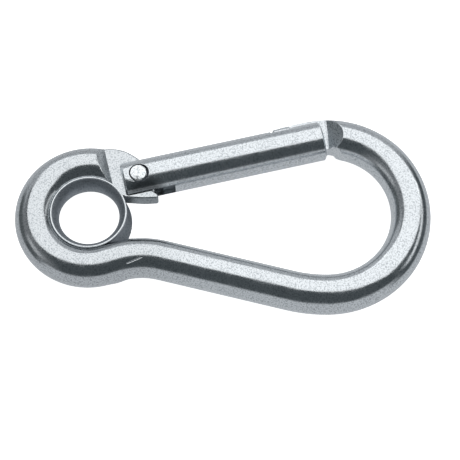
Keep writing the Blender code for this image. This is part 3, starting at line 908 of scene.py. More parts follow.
@dataclass
class HookFrame:
    """The bent bar with its coined tang at the hinge and its coined tongue and head at the nose.

    The neck's dents and crease, from the bending tool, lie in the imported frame. A dent is a place, how far it
    is pushed and its reach.
    """

    datum: Datum
    fits: Fits
    eye_bend_radius: float = 13.6 * MM
    eye_exit_heading: float = math.radians(17.3)
    neck_straight: float = 3.4 * MM
    neck_bend_radius: float = 20.6 * MM
    arm_heading: float = math.radians(-14.2)
    arm_straight: float = 32.5 * MM
    heel_bend_radius: float = 36.5 * MM
    heel_bend_turn: float = math.radians(14.8)
    bowl_bend_radius: float = 21.4 * MM
    bowl_bend_turn: float = math.radians(122.7)
    nose_bend_radius: float = 20.2 * MM
    gate_inset: float = 0.55 * MM
    gate_heel: float = 4.1 * MM
    gate_floor: float = 1.2 * MM
    gate_pocket_wall: float = 0.7 * MM
    tang_half: float = 2.0 * MM
    tang_spread: float = 1.0 * MM
    tang_edge_round: float = 0.7 * MM
    tang_end: float = 3.4 * MM
    tang_shoulder_round: float = 1.1 * MM
    tang_toe_round: float = 1.1 * MM
    tang_ramp_slope: float = math.radians(51)
    tang_ramp_wave: float = 0.07 * MM
    tang_swell: float = math.radians(30)
    tang_swell_before_ramp: float = math.radians(10)
    heel_root: float = 5.2 * MM
    lip_root: float = 3.6 * MM
    lip_heel: Point = (-3.45 * MM, -5.6 * MM)
    lip_belly: Point = (1.3 * MM, -5.98 * MM)
    lip_toe: Point = (4.94 * MM, -5.76 * MM)
    lip_tip: Point = (4.94 * MM, -4.86 * MM)
    lip_belly_round: float = 20.0 * MM
    lip_corner_round: float = 0.55 * MM
    lip_slope: float = math.radians(142.5)
    lip_slope_length: float = 3.2 * MM
    lip_round: float = 0.42 * MM
    lip_inset: float = 0.02 * MM
    lip_passage: float = 7.34 * MM
    lip_side_tilt: float = 0.5
    tongue_half: float = 2.0 * MM
    tongue_length: float = 14.0 * MM
    nose_die_turn: float = math.radians(-9)
    nose_die_advance: float = 0.7 * MM
    nose_ramp_slope: float = math.radians(39)
    nose_bite: float = 0.18 * MM
    nose_ramp_beyond_bend: float = 5.2 * MM
    nose_trim_slope: float = math.radians(54)
    nose_trim_beyond_ramp: float = 0.1 * MM
    head_length: float = 4.5 * MM
    head_shoulder: float = 1.2 * MM
    head_rise: float = 0.3 * MM
    head_edge_round: float = 0.5 * MM
    head_corner_round: float = 1.2 * MM
    notch_depth: float = 0.6 * MM
    notch_length: float = 1.2 * MM
    rivet_radius: float = 1.5 * MM
    broken_edge: float = 0.18 * MM
    ramp_facing: Triple = (0.5, 0.4, 0.4)
    swell_steps: int = 18
    edge_steps: int = 12
    side_steps: int = 32
    neck_steps: int = 6
    neck_dents: tuple[tuple[Triple, Triple, float], ...] = (
        ((-25.6 * MM, -17.2 * MM, 4.6 * MM), (0.04 * MM, -0.30 * MM, 0.0), 3.4 * MM),
        ((-21.4 * MM, -16.5 * MM, 4.8 * MM), (0.0, 0.16 * MM, 0.0), 1.8 * MM),
    )
    crease_start: Triple = (-23.6 * MM, -14.50 * MM, 9.08 * MM)
    crease_end: Triple = (-19.6 * MM, -12.95 * MM, 9.74 * MM)
    crease_outward: Triple = (0.05, -0.46, 0.89)
    crease_width: float = 0.30 * MM
    crease_lift: float = 0.235 * MM
    crease_taper: float = 0.3
    touch: float = 0.0

    @property
    def eye_outer(self) -> float:
        """The outside radius of the eye."""
        return self.eye_bend_radius + self.datum.bar_radius

    @property
    def ramp_foot(self) -> float:
        """How far from the rivet the tang's ramp starts, clear of the gate's heel."""
        return math.hypot(self.gate_heel, self.datum.bar_radius) + self.fits.heel_to_ramp

    @property
    def lip_clear(self) -> float:
        """How far from the rivet the lip swings through the gate's slot."""
        return self.lip_passage + self.fits.swing

    @property
    def nose_foot(self) -> float:
        """Where along the gate the nose's ramp starts."""
        return self.touch + self.nose_ramp_beyond_bend

    @property
    def tongue_tip(self) -> float:
        """Where along the gate the tongue ends."""
        return self.nose_foot - self.tongue_length

    @property
    def tongue_inner(self) -> float:
        """How far across the gate the tongue's inner side lies."""
        return self.gate_floor - self.datum.bar_radius + self.fits.tongue

    @property
    def head_half(self) -> float:
        """Half the head's thickness."""
        return self.tongue_half + self.head_shoulder

    @property
    def pocket_floor(self) -> float:
        """How far across the gate the floor of the head's pocket lies."""
        wall = self.datum.bar_radius - self.gate_pocket_wall
        return -math.sqrt(wall**2 - (self.head_half + self.fits.running) ** 2)

    def bend_bar(self) -> Object:
        """Draws the whole bar and notes where the nose meets the gate's line.

        Returns:
            The bar in the eye frame.
        """
        start = self.datum.pivot_angle
        bender = BarBender(unit(start) * self.eye_bend_radius, start + math.pi / 2, self.datum.bar_radius)
        bender.bend(self.eye_bend_radius, math.tau + self.eye_exit_heading - bender.heading)
        bender.straight(self.neck_straight, self.neck_steps)
        bender.bend(self.neck_bend_radius, self.arm_heading - self.eye_exit_heading, CREASE_STEP)
        bender.straight(self.arm_straight)
        bender.bend(self.heel_bend_radius, self.heel_bend_turn)
        bender.bend(self.bowl_bend_radius, self.bowl_bend_turn)
        to_centre = bender.bend_centre(self.nose_bend_radius) - self.datum.pivot
        beside = self.nose_bend_radius - self.gate_inset
        self.touch = math.sqrt(to_centre.xy.length_squared - beside**2)
        bender.bend(self.nose_bend_radius, self.datum.direction + math.pi + math.tau - bender.heading)
        bender.straight(self.touch - self.tongue_tip - self.head_length / 2)
        return bender.finish("bent_bar")

    def coin(self, bar: Object, die: CoiningDie) -> None:
        """Presses a flat with a ramp at its foot, above and below the hook's plane.

        Args:
            bar: The bar in its place.
            die: The die that presses it.
        """
        top = self.datum.bar_radius + OVERRUN
        run = die.side / math.tan(die.slope)
        flat = die.half - die.sunk
        bite = math.copysign(die.bite, die.side)
        profile = [
            (die.foot - die.sunk * run - bite, flat),
            (die.foot - die.sunk * run, flat - die.bite),
            (die.foot + (top - die.half) * run, top),
            (die.reach, top),
            (die.reach, flat),
        ]
        if not die.bite:
            profile.pop(0)
        about_foot = Matrix.Translation((die.foot, 0, 0))
        lean = about_foot @ Matrix.Rotation(die.lean, 4, "Z") @ about_foot.inverted()
        for sign in (1, -1):
            block = plate("coining_die", [(x, sign * z) for x, z in profile], -die.far, -die.near)
            if die.wave:
                self.wave_ramp(block, die)
            block.rotation_euler = (math.pi / 2, 0, 0)
            settle(block)
            shape(bar, Cut.TAKE_OFF, settle(block, self.datum.gate_frame @ lean))

    def wave_ramp(self, block: Object, die: CoiningDie) -> None:
        """Makes a die's ramp wavy, as a worn die leaves it.

        Args:
            block: The die's block, standing on end.
            die: Its sizes.
        """
        clear_picks(block, "FACE")
        for face in block.data.polygons:
            face.select = abs(abs(face.normal.y) - math.cos(die.slope)) < SAME_SLOPE
        bpy.ops.object.mode_set(mode="EDIT")
        bpy.ops.mesh.subdivide(number_cuts=die.wave_cuts)
        bpy.ops.transform.vertex_random(offset=die.wave, seed=die.wave_seed)
        bpy.ops.object.mode_set(mode="OBJECT")

    def tang_outline(self) -> list[Point]:
        """Plan of the tang in the eye frame: outer edge, square end, root of the lip and the eyelet's side.

        Returns:
            The outline's points.
        """
        along = unit(self.datum.direction).to_2d()
        across = left_of(self.datum.direction).to_2d()
        pivot = self.datum.pivot.to_2d()
        inner = self.eye_bend_radius - self.datum.bar_radius + self.tang_edge_round
        hidden = self.eye_outer - 2 * self.tang_edge_round
        outer = self.eye_outer + self.tang_spread
        ramp = self.datum.direction + math.pi / 2
        ramp -= math.asin((pivot.dot(along) - self.ramp_foot) / self.eye_outer)
        start = ramp + self.tang_swell_before_ramp
        full = start - self.tang_swell
        swell = []
        for i in range(self.swell_steps + 1):
            share = i / self.swell_steps
            radius = hidden + (outer - hidden) * math.sin(math.pi / 2 * share)
            swell.append(unit(start + (full - start) * share).to_2d() * radius)
        face = pivot + along * self.tang_end
        rise = -face.dot(across) + math.sqrt(face.dot(across) ** 2 - face.length_squared + outer**2)
        shoulder = face + across * rise
        last = math.atan2(shoulder.y, shoulder.x)
        edge = [Vector(p) for p in arc((0, 0), outer, full, last, self.edge_steps)][1:-1]
        root = pivot.y - self.lip_root
        toe = face - across * ((face.y - root) / across.y)
        heel_height = pivot.y - self.heel_root
        heel_angle = math.asin(heel_height / inner)
        heel = (inner * math.cos(heel_angle), heel_height)
        points = [tuple(p) for p in swell + edge]
        points += round_corner(tuple(edge[-1]), tuple(shoulder), tuple(toe), self.tang_shoulder_round)
        points += round_corner(tuple(shoulder), tuple(toe), heel, self.tang_toe_round)
        return points + arc((0, 0), inner, heel_angle, start, self.side_steps)

    def lip(self) -> Object:
        """The tang's lip: nearly straight below, with a sloped end beside the plunger and rounded rims.

        Returns:
            The lip, with the rivet's axis at the origin.
        """
        heel, belly, toe, tip = self.lip_heel, self.lip_belly, self.lip_toe, self.lip_tip
        top = Vector(tip) + unit(self.lip_slope).to_2d() * self.lip_slope_length
        outline = [heel, *round_corner(heel, belly, toe, self.lip_belly_round)]
        outline += round_corner(belly, toe, tip, self.lip_corner_round)
        outline += round_corner(toe, tip, tuple(top), self.lip_corner_round)
        outline += [tuple(top), (heel[0], top.y)]
        half = self.tang_half - self.lip_inset
        lip = plate("lip", outline, -half, half)
        round_rims(lip, self.lip_round, lambda place: place.x > heel[0] + SUNK and place.y < top.y - SUNK)
        return lip

    def tang(self) -> Object:
        """The tang's plate with its lip, and a small round on its outer edge.

        Returns:
            The plate in the eye frame.
        """
        tang = plate("tang", self.tang_outline(), -self.tang_half, self.tang_half)
        outside = self.eye_outer - self.tang_spread
        above = self.datum.pivot.y - self.lip_root / 2
        round_rims(tang, self.tang_edge_round, lambda place: place.xy.length > outside and place.y > above)
        shape(tang, Cut.JOIN, settle(self.lip(), Matrix.Translation(self.datum.pivot.to_2d().to_3d())))
        return tang

    def notch(self) -> Object:
        """The nick in the tongue's outer edge beside its head.

        Returns:
            The cutter in the gate frame.
        """
        start = self.tongue_tip + self.head_length
        top = self.datum.bar_radius + self.gate_inset
        outline = [
            (start, top - self.notch_depth),
            (start + self.notch_length / 2, top - self.notch_depth),
            (start + self.notch_length, top + self.notch_depth / 2),
            (start, top + self.notch_depth / 2),
        ]
        return plate("notch", outline, -self.datum.bar_radius, self.datum.bar_radius)

    def nose_trim(self) -> Object:
        """The cut that lets the gate's floor pass under the tongue, on the nose's inner side.

        Returns:
            The cutter in the gate frame.
        """
        depth = 2 * self.datum.bar_radius
        trim = self.nose_foot + self.nose_trim_beyond_ramp
        edge = self.tongue_inner
        outline = [
            (self.tongue_tip, edge),
            (trim, edge),
            (trim + depth / math.tan(self.nose_trim_slope), edge - depth),
            (self.tongue_tip, edge - depth),
        ]
        high = self.datum.bar_radius + OVERRUN
        return plate("nose_trim", outline, -high, high)

    def head(self) -> Object:
        """The head across the tongue's tip, round like the gate and a little proud of it.

        Returns:
            The head in the gate frame.
        """
        radius = self.datum.bar_radius + self.head_rise
        lean = math.asin(self.head_half / radius)
        low = self.pocket_floor + self.fits.tongue
        crown = arc((0, 0), radius, -lean, lean, 3 * ROUND_STEPS)
        under = (low, -self.head_half)
        over = (low, self.head_half)
        section = [over, under]
        section += round_corner(under, crown[0], crown[1], self.head_corner_round)
        section += [p for p in crown if abs(p[1]) < self.head_half - self.head_corner_round]
        section += round_corner(crown[-2], crown[-1], over, self.head_corner_round)
        tip = self.tongue_tip
        head = plate("tongue_head", section, tip, tip + self.head_length, self.head_edge_round)
        # The section is drawn across the gate and carried along it, so each axis moves on by one
        head.matrix_world = Matrix(((0, 0, 1, 0), (1, 0, 0, 0), (0, 1, 0, 0), (0, 0, 0, 1)))
        return settle(head)

    def crease(self) -> Object:
        """A spindle that leaves the crease which the bending tool pressed into the neck.

        Returns:
            The cutter in its place.
        """
        start = Vector(self.crease_start)
        end = Vector(self.crease_end)
        half = (end - start).length / 2
        shares = [i / ROUND_STEPS - 1 for i in range(2 * ROUND_STEPS + 1)]
        side = [(self.crease_width * (1 - self.crease_taper * share**2), half * share) for share in shares]
        spindle = turned("crease", [(0, -half), *side, (0, half)], False, Axis.UPRIGHT)
        middle = (start + end) / 2 + Vector(self.crease_outward) * self.crease_lift
        lie = (end - start).to_track_quat("Z", "Y").to_matrix().to_4x4()
        return settle(spindle, Matrix.Translation(middle) @ lie)

    def to_be_broken(self, place: Vector) -> bool:
        """Tells whether a place lies off the head, the hinge and the crease, whose edges stay as they are.

        Args:
            place: The middle of an edge.

        Returns:
            Whether the edge is broken.
        """
        local = self.datum.gate_frame.inverted() @ place
        head_end = self.tongue_tip + self.head_length + self.notch_length
        on_head = self.tongue_tip - OVERRUN < local.x < head_end + self.fits.swing and place.y > 0
        heel = self.gate_heel + 2 * self.fits.swing
        at_hinge = local.xy.length < self.lip_clear and local.x > -heel and local.y < self.tang_end
        on_crease = (place - Vector(self.crease_start)).length < 2 * OVERRUN
        return not (on_head or at_hinge or on_crease)

    def on_ramp(self, place: Vector, normal: Vector) -> bool:
        """Tells whether a face lies on one of the two coined ramps.

        Args:
            place: The face's middle.
            normal: The way that it faces.

        Returns:
            Whether it is part of a ramp.
        """
        to_gate = self.datum.gate_frame.inverted()
        along = (to_gate @ place).x
        face = to_gate.to_3x3() @ normal
        near = min(abs(along + self.ramp_foot), abs(along - self.nose_foot)) < OVERRUN
        least_along, most_across, least_up = self.ramp_facing
        faces = abs(face.x) > least_along and abs(face.y) < most_across and abs(face.z) > least_up
        return near and place.y > 0 and faces

    def on_lip_side(self, place: Vector, normal: Vector) -> bool:
        """Tells whether a face, by its middle and the way it faces, lies on the side of the tang's lip."""
        off = place - self.datum.rivet
        return off.xy.length < self.lip_clear and off.y < -self.lip_root and normal.z < self.lip_side_tilt

    def build(self) -> Object:
        """Models the bar with its coined ends.

        Returns:
            The finished mesh.
        """
        bar = settle(self.bend_bar(), self.datum.eye_frame)
        for place, push, reach in self.neck_dents:
            dent(bar, Vector(place), Vector(push), reach)
        shape(bar, Cut.TAKE_OFF, self.crease())
        wide = self.eye_outer
        tang_die = CoiningDie(
            foot=-self.ramp_foot,
            slope=self.tang_ramp_slope,
            side=-1,
            half=self.tang_half,
            reach=self.tang_end + OVERRUN,
            near=-self.eye_bend_radius / 2,
            far=wide,
            sunk=SUNK,
            wave=self.tang_ramp_wave,
        )
        nose_die = CoiningDie(
            foot=self.nose_foot - self.nose_die_advance,
            slope=self.nose_ramp_slope,
            side=1,
            half=self.tongue_half,
            reach=self.tongue_tip - OVERRUN,
            near=-wide,
            far=wide,
            lean=self.nose_die_turn,
            bite=self.nose_bite,
        )
        self.coin(bar, tang_die)
        self.coin(bar, nose_die)
        high = self.datum.bar_radius + OVERRUN
        hole = rod("tang_hole", self.rivet_radius + self.fits.rivet, -high, high, Axis.UPRIGHT)
        shape(bar, Cut.TAKE_OFF, settle(self.nose_trim(), self.datum.gate_frame))
        shape(bar, Cut.JOIN, settle(self.tang(), self.datum.eye_frame))
        shape(bar, Cut.JOIN, settle(self.head(), self.datum.gate_frame))
        shape(bar, Cut.TAKE_OFF, settle(self.notch(), self.datum.gate_frame))
        shape(bar, Cut.TAKE_OFF, settle(hole, self.datum.gate_frame))
        soften(bar, self.broken_edge, self.to_be_broken)
        return bar

    def dress(self, bar: Object) -> Object:
        """Gives the bar its finish, dull on the ramps, with painted shade on the lip's side, and its place in
        the frame.

        Args:
            bar: The finished mesh.

        Returns:
            The same piece.
        """
        finishes = {
            BarSlot.BAR: TUMBLED_BAR,
            BarSlot.TANG_RAMP: COINED_RAMP,
            BarSlot.NOSE_RAMP: COINED_NOSE,
            # The lip's side takes painted shade
            BarSlot.LIP_SIDE: SHEARED_LIP_PAINTED_SHADE,
        }
        made = [finishes[slot].make() for slot in BarSlot]
        hand_over(bar, "hook_frame", "polished_bar", Body.FRAME, *made)
        for face in bar.data.polygons:
            slot = BarSlot.BAR
            if self.on_ramp(face.center, face.normal):
                slot = BarSlot.TANG_RAMP if face.center.x < self.datum.rivet.x else BarSlot.NOSE_RAMP
            elif self.on_lip_side(face.center, face.normal):
                slot = BarSlot.LIP_SIDE
            face.material_index = slot.value
        return bar


@dataclass
class Eyelet:
    """The sleeve pressed into the eye, flared along the bar's round side, with a wider flange below."""

    hook: HookFrame
    wall: float = 1.0 * MM
    rim_width: float = 0.52 * MM
    rim_round: float = 0.35 * MM
    flare_above: float = math.radians(43.3)
    flare_below: float = math.radians(61.2)
    flare_steps: int = 24
    broken_edge: float = 0.08 * MM

    def flare(self, centre: float, radius: float, low: float, high: float) -> list[Point]:
        """A round line from one height to another, such as one that follows the bar's side.

        Args:
            centre: How far from the eye's middle the line's own middle lies.
            radius: The line's radius.
            low: The height that it starts at.
            high: The height that it ends at.

        Returns:
            Points of (radius from the eye's middle, height).
        """
        heights = [low + (high - low) * i / self.flare_steps for i in range(self.flare_steps + 1)]
        return [(centre - math.sqrt(radius**2 - z**2), z) for z in heights]

    def build(self) -> Object:
        """Models the sleeve: a thin rim above, a full wall at the waist and a wide flange below.

        Returns:
            The finished mesh.
        """
        bend = self.hook.eye_bend_radius
        outer = self.hook.datum.bar_radius + self.hook.fits.pressed
        above = outer * math.sin(self.flare_above)
        below = outer * math.sin(self.flare_below)
        rim = self.rim_round
        outside = self.flare(bend, outer, -below + rim, above - rim)
        waist = bend - outer - self.wall
        mouth = outside[-1][0] - self.rim_width
        rise = above - rim
        mouth_round = (rise**2 + (mouth - waist) ** 2) / (2 * (mouth - waist))
        inside = self.flare(waist + mouth_round, mouth_round, rise, 0)
        inside += self.flare(bend, outer + self.wall, 0, -below + rim)[1:]
        top = [(outside[-1][0] - rim / 3, above), (mouth + rim / 3, above)]
        foot = [(inside[-1][0] + rim, -below), (outside[0][0] - rim / 2, -below)]
        sleeve = turned("eyelet_sleeve", outside + top + inside + foot, True, Axis.UPRIGHT)
        settle(sleeve, self.hook.datum.eye_frame)
        soften(sleeve, self.broken_edge)
        return sleeve

    def dress(self, sleeve: Object) -> Object:
        """Gives the sleeve its finish, burnished on the rim, and its place in the frame.

        Args:
            sleeve: The finished mesh.

        Returns:
            The same piece.
        """
        satin = PRESSED_EYELET.make(self.hook.datum.eye_frame)
        hand_over(sleeve, "eyelet", "pressed_eyelet", Body.FRAME, satin, BURNISHED_RIM.make())
        rim = max(vertex.co.z for vertex in sleeve.data.vertices) - self.rim_round
        for face in sleeve.data.polygons:
            face.material_index = int(face.center.z > rim)
        return sleeve


@dataclass
class Gate:
    """The round gate, forked at the rivet, bored for the spring and slotted for the tongue."""

    hook: HookFrame
    nose_gap: float = 2.0 * MM
    end_chamfer: float = 0.4 * MM
    bore_radius: float = 3.05 * MM
    bore_end_wall: float = 3.0 * MM
    bore_point_depth: float = 1.2 * MM
    seat_radius: float = 2.5 * MM
    seat_depth: float = 0.7 * MM
    seat_shift: Triple = (0.10 * MM, -0.12 * MM, 0.0)
    broken_edge: float = 0.10 * MM

    @property
    def end(self) -> float:
        """Where along its axis the gate ends at the nose."""
        return self.hook.nose_foot - self.nose_gap

    @property
    def bore_end(self) -> float:
        """Where along the gate the bore stops, before the drill's point."""
        point = self.hook.tongue_tip - self.hook.fits.head_end - self.bore_end_wall
        return point - self.bore_point_depth

    @property
    def seat_floor(self) -> float:
        """How far from the hook's plane the floors of the rivet's seats lie."""
        return self.hook.datum.bar_radius - self.seat_depth

    def to_be_broken(self, place: Vector) -> bool:
        """Tells whether a place lies off the nose end and the shallow rims of the rivet's seats.

        Args:
            place: The middle of an edge.

        Returns:
            Whether the edge is broken.
        """
        local = self.hook.datum.gate_frame.inverted() @ place
        at_seat = (local - Vector(self.seat_shift)).xy.length < self.seat_radius + self.broken_edge
        shallow = abs(local.z) < self.seat_floor + 2 * self.broken_edge
        return not (at_seat and shallow) and local.x < self.end - 2 * self.end_chamfer

    def fork_slot(self) -> Object:
        """The fork's slot: short on the outer side, longer where the tang's lip swings through.

        Returns:
            The cutter in the gate frame.
        """
        hook = self.hook
        past = -hook.gate_heel - OVERRUN
        shoulder = hook.tang_end + hook.fits.swing
        lip = hook.lip_clear
        wide = hook.datum.bar_radius + OVERRUN
        step = -self.bore_radius / 2
        outline = [(past, -wide), (lip, -wide), (lip, step), (shoulder, step), (shoulder, wide), (past, wide)]
        half = hook.tang_half + hook.fits.running
        return plate("fork_slot", outline, -half, half)

    def tongue_slot(self) -> list[Object]:
        """The T-shaped slot for the tongue.

        Returns:
            The cutter for the tongue and the one for its head, in the gate frame.
        """
        hook = self.hook
        tip = hook.tongue_tip
        end = hook.fits.head_end
        floor = hook.gate_floor - hook.datum.bar_radius
        wide = hook.datum.bar_radius + OVERRUN
        slots = []
        for name, near, far, low, half in (
            ("neck_slot", tip, self.end + OVERRUN, floor, hook.tongue_half),
            ("head_slot", tip - end, tip + hook.head_length + end, hook.pocket_floor, hook.head_half),
        ):
            outline = [(near, low), (far, low), (far, wide), (near, wide)]
            deep = half + hook.fits.running
            slots.append(plate(name, outline, -deep, deep))
        return slots

    def build(self) -> Object:
        """Models the gate.

        Returns:
            The finished mesh.
        """
        hook = self.hook
        radius = hook.datum.bar_radius
        gate = rod("gate_bar", radius, -hook.gate_heel, self.end, Axis.ALONG_GATE, self.end_chamfer)
        past = -hook.gate_heel - OVERRUN
        wide = radius + OVERRUN
        drilled = [
            (0, past),
            (self.bore_radius, past),
            (self.bore_radius, self.bore_end),
            (0, self.bore_end + self.bore_point_depth),
        ]
        seat = self.seat_floor
        shift = Matrix.Translation(Vector(self.seat_shift))
        tools = [
            self.fork_slot(),
            turned("spring_bore", drilled, False, Axis.ALONG_GATE),
            *self.tongue_slot(),
            rod("cheek_hole", hook.rivet_radius + hook.fits.rivet, -wide, wide, Axis.UPRIGHT),
            settle(rod("rivet_seat_above", self.seat_radius, seat, wide, Axis.UPRIGHT), shift),
            settle(rod("rivet_seat_below", self.seat_radius, -wide, -seat, Axis.UPRIGHT), shift),
        ]
        for tool in tools:
            shape(gate, Cut.TAKE_OFF, tool)
        settle(gate, hook.datum.gate_frame)
        soften(gate, self.broken_edge, self.to_be_broken)
        return gate

    def dress(self, gate: Object) -> Object:
        """Gives the gate its finish, with painted shade in the rivet's seats, and its place in the frame.

        Args:
            gate: The finished mesh.

        Returns:
            The same piece.
        """
        drawn = DRAWN_GATE.make(self.hook.datum.gate_frame)
        hand_over(gate, "gate", "turned_gate", Body.GATE, drawn, DRILLED_SEAT_PAINTED_SHADE.make())
        to_seat = (self.hook.datum.gate_frame @ Matrix.Translation(Vector(self.seat_shift))).inverted()
        floor = self.seat_floor - self.broken_edge
        # Faces in the rivet's seats take painted shade
        for face in gate.data.polygons:
            off = to_seat @ face.center
            face.material_index = int(off.xy.length < self.seat_radius and abs(off.z) > floor)
        return gate


@dataclass
class Rivet:
    """The hinge rivet: a shank with a low domed head sunk in each side of the gate."""

    gate: Gate
    head_radius: float = 2.16 * MM
    head_rim: float = 0.30 * MM
    head_crown: float = 0.24 * MM
    head_spread: Triple = (-0.06 * MM, 0.08 * MM, 0.0)
    blow_size: float = 1.1 * MM
    blow_depth: float = 0.12 * MM
    broken_edge: float = 0.05 * MM

    def build(self) -> Object:
        """Models the rivet and dents its heads with the hammer's blows.

        Returns:
            The finished mesh.
        """
        hook = self.gate.hook
        under = self.gate.seat_floor + hook.fits.rivet - self.head_rim / 2
        flat = self.head_radius - self.head_rim
        dome = (flat**2 + self.head_crown**2) / (2 * self.head_crown)
        reach = math.asin(flat / dome)
        top = under + self.head_rim + self.head_crown
        crown = []
        for i in range(2 * ROUND_STEPS + 1):
            lean = reach * i / (2 * ROUND_STEPS)
            crown.append((dome * math.sin(lean), top - dome * (1 - math.cos(lean))))
        crown += arc((flat, under), self.head_rim, math.pi / 2 - reach, 0, ROUND_STEPS)[1:-1]
        upper = crown + [(self.head_radius, under), (hook.rivet_radius, under)]
        lower = [(radius, -along) for radius, along in reversed(upper)]
        rivet = turned("rivet", upper + lower, False, Axis.UPRIGHT)
        settle(rivet, hook.datum.gate_frame @ Matrix.Translation(Vector(self.head_spread)))
        blows = bpy.data.textures.new("hammer_blows", "CLOUDS")
        blows.noise_scale = self.blow_size
        blows.noise_depth = 1
        struck = {"texture": blows, "texture_coords": "LOCAL", "strength": self.blow_depth, "mid_level": 1.0}
        apply_modifier(rivet, "DISPLACE", struck)
        soften(rivet, self.broken_edge)
        return rivet

    def dress(self, rivet: Object) -> Object:
        """Gives the rivet its finish and its place in the frame."""
        return hand_over(rivet, "hinge_rivet", "peened_rivet", Body.GATE, PEENED_RIVET.make())


@dataclass
class Plunger:
    """The plunger in the gate's bore: its nose bears on the tang, its spigot holds the spring."""

    gate: Gate
    shoulder_width: float = 0.8 * MM
    body_length: float = 6.2 * MM
    nose_length: float = 1.2 * MM
    spigot_length: float = 4.0 * MM
    chamfer: float = 0.3 * MM
    broken_edge: float = 0.08 * MM

    @property
    def nose_radius(self) -> float:
        """The nose is as thick as the tang."""
        return self.gate.hook.tang_half

    @property
    def radius(self) -> float:
        """The body's radius."""
        return self.nose_radius + self.shoulder_width

    @property
    def tip(self) -> float:
        """Where along the gate the nose bears on the tang."""
        return self.gate.hook.tang_end + self.gate.hook.fits.seat

    @property
    def shoulder(self) -> float:
        """Where along the gate the spring seats."""
        return self.tip + self.nose_length + self.body_length

    def build(self, coil_inside: float) -> Object:
        """Models the plunger.

        Args:
            coil_inside: The radius inside the spring.

        Returns:
            The finished mesh.
        """
        hook = self.gate.hook
        body = self.tip + self.nose_length
        spigot = coil_inside - hook.fits.spigot
        end = self.shoulder + self.spigot_length
        profile = [
            (0, self.tip),
            (self.nose_radius - self.chamfer, self.tip),
            (self.nose_radius, self.tip + self.chamfer),
            (self.nose_radius, body),
            (self.radius, body + self.shoulder_width),
            (self.radius, self.shoulder),
            (spigot, self.shoulder),
            (spigot, end - self.chamfer),
            (spigot - self.chamfer, end),
            (0, end),
        ]
        plunger = turned("plunger_pin", profile, False, Axis.ALONG_GATE)
        settle(plunger, hook.datum.gate_frame)
        soften(plunger, self.broken_edge)
        return plunger

    def dress(self, plunger: Object) -> Object:
        """Gives the plunger its finish and its place in the frame."""
        finish = TURNED_PLUNGER.make(self.gate.hook.datum.gate_frame)
        return hand_over(plunger, "plunger", "plain_plunger", Body.PLUNGER, finish)


@dataclass
class GateSpring:
    """The compression spring between the plunger's shoulder and the end of the bore."""

    plunger: Plunger
    wire_radius: float = 0.4 * MM
    wire_steps: int = 3
    turns: int = 11
    points_per_turn: int = 24

    @property
    def coil_radius(self) -> float:
        """The radius of the wire's axis."""
        return self.plunger.radius - self.wire_radius

    @property
    def seats(self) -> Point:
        """Where along the gate the spring starts and ends."""
        seat = self.plunger.gate.hook.fits.seat
        return self.plunger.shoulder + seat, self.plunger.gate.bore_end - seat

    def wire_points(self) -> list[Vector]:
        """The wire's axis: a helix with an end of one wire diameter square to each seat.

        Returns:
            The points in the gate frame.
        """
        start, end = self.seats
        straight = 2 * self.wire_radius
        coil_start = start + straight + self.wire_radius
        coil_end = end - straight - self.wire_radius
        count = self.turns * self.points_per_turn
        coil = []
        for i in range(count + 1):
            angle = math.tau * i / self.points_per_turn
            along = coil_start + (coil_end - coil_start) * i / count
            across = self.coil_radius * math.cos(angle)
            coil.append(Vector((along, across, self.coil_radius * math.sin(angle))))
        first = Vector((start, coil[0].y, coil[0].z))
        last = Vector((end, coil[-1].y, coil[-1].z))
        lead = Vector((straight, 0, 0))
        return [first, first + lead] + coil[1:-1] + [last - lead, last]

    def build(self) -> Object:
        """Winds the wire.

        Returns:
            The finished mesh.
        """
        trace("coil_spring", self.wire_points(), closed=False)
        bpy.ops.object.mode_set(mode="OBJECT")
        bpy.ops.object.convert(target="CURVE")
        curve = bpy.context.object.data
        curve.bevel_depth = self.wire_radius
        curve.bevel_resolution = self.wire_steps
        curve.use_fill_caps = True
        bpy.ops.object.convert(target="MESH")
        wire = settle(bpy.context.object, self.plunger.gate.hook.datum.gate_frame)
        bpy.ops.object.shade_smooth_by_angle(angle=SMOOTH_UNDER)
        return wire

    def dress(self, wire: Object) -> Object:
        """Gives the wire its finish, its place and a mesh of its own.

        Args:
            wire: The finished mesh.

        Returns:
            The same piece.
        """
        hand_over(wire, "gate_spring", "spring_wire", Body.GATE, SPRING_WIRE.make())
        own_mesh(wire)
        return wire


@dataclass(frozen=True)
class Lamp:
    """One soft lamp on a dome round the hook, facing it.

    Side and back are how far it leans from overhead towards +X and +Y, and width and depth how large it looks
    from the hook, all in degrees. Glow is how bright its face is, and distance how far away it hangs.
    """

    name: str
    side: float
    back: float
    width: float
    depth: float
    glow: float
    distance: float = 1.5

    def hang(self, aim: Vector) -> None:
        """Hangs the lamp.

        Args:
            aim: The place that it faces.
        """
        side, back, width, depth = map(math.radians, (self.side, self.back, self.width, self.depth))
        lean = math.hypot(side, back)
        towards = unit(math.atan2(back, side)) * math.sin(lean) + Vector((0, 0, math.cos(lean)))
        data = bpy.data.lights.new(self.name, "AREA")
        data.shape = "RECTANGLE"
        data.size = 2 * self.distance * math.tan(width / 2)
        data.size_y = 2 * self.distance * math.tan(depth / 2)
        data.energy = self.glow * math.pi * data.size * data.size_y
        lamp = bpy.data.objects.new(self.name, data)
        lamp.location = aim + towards * self.distance
        lamp.rotation_euler = towards.to_track_quat("Z", "Y").to_euler()
        lamp.visible_camera = False
        bpy.context.collection.objects.link(lamp)


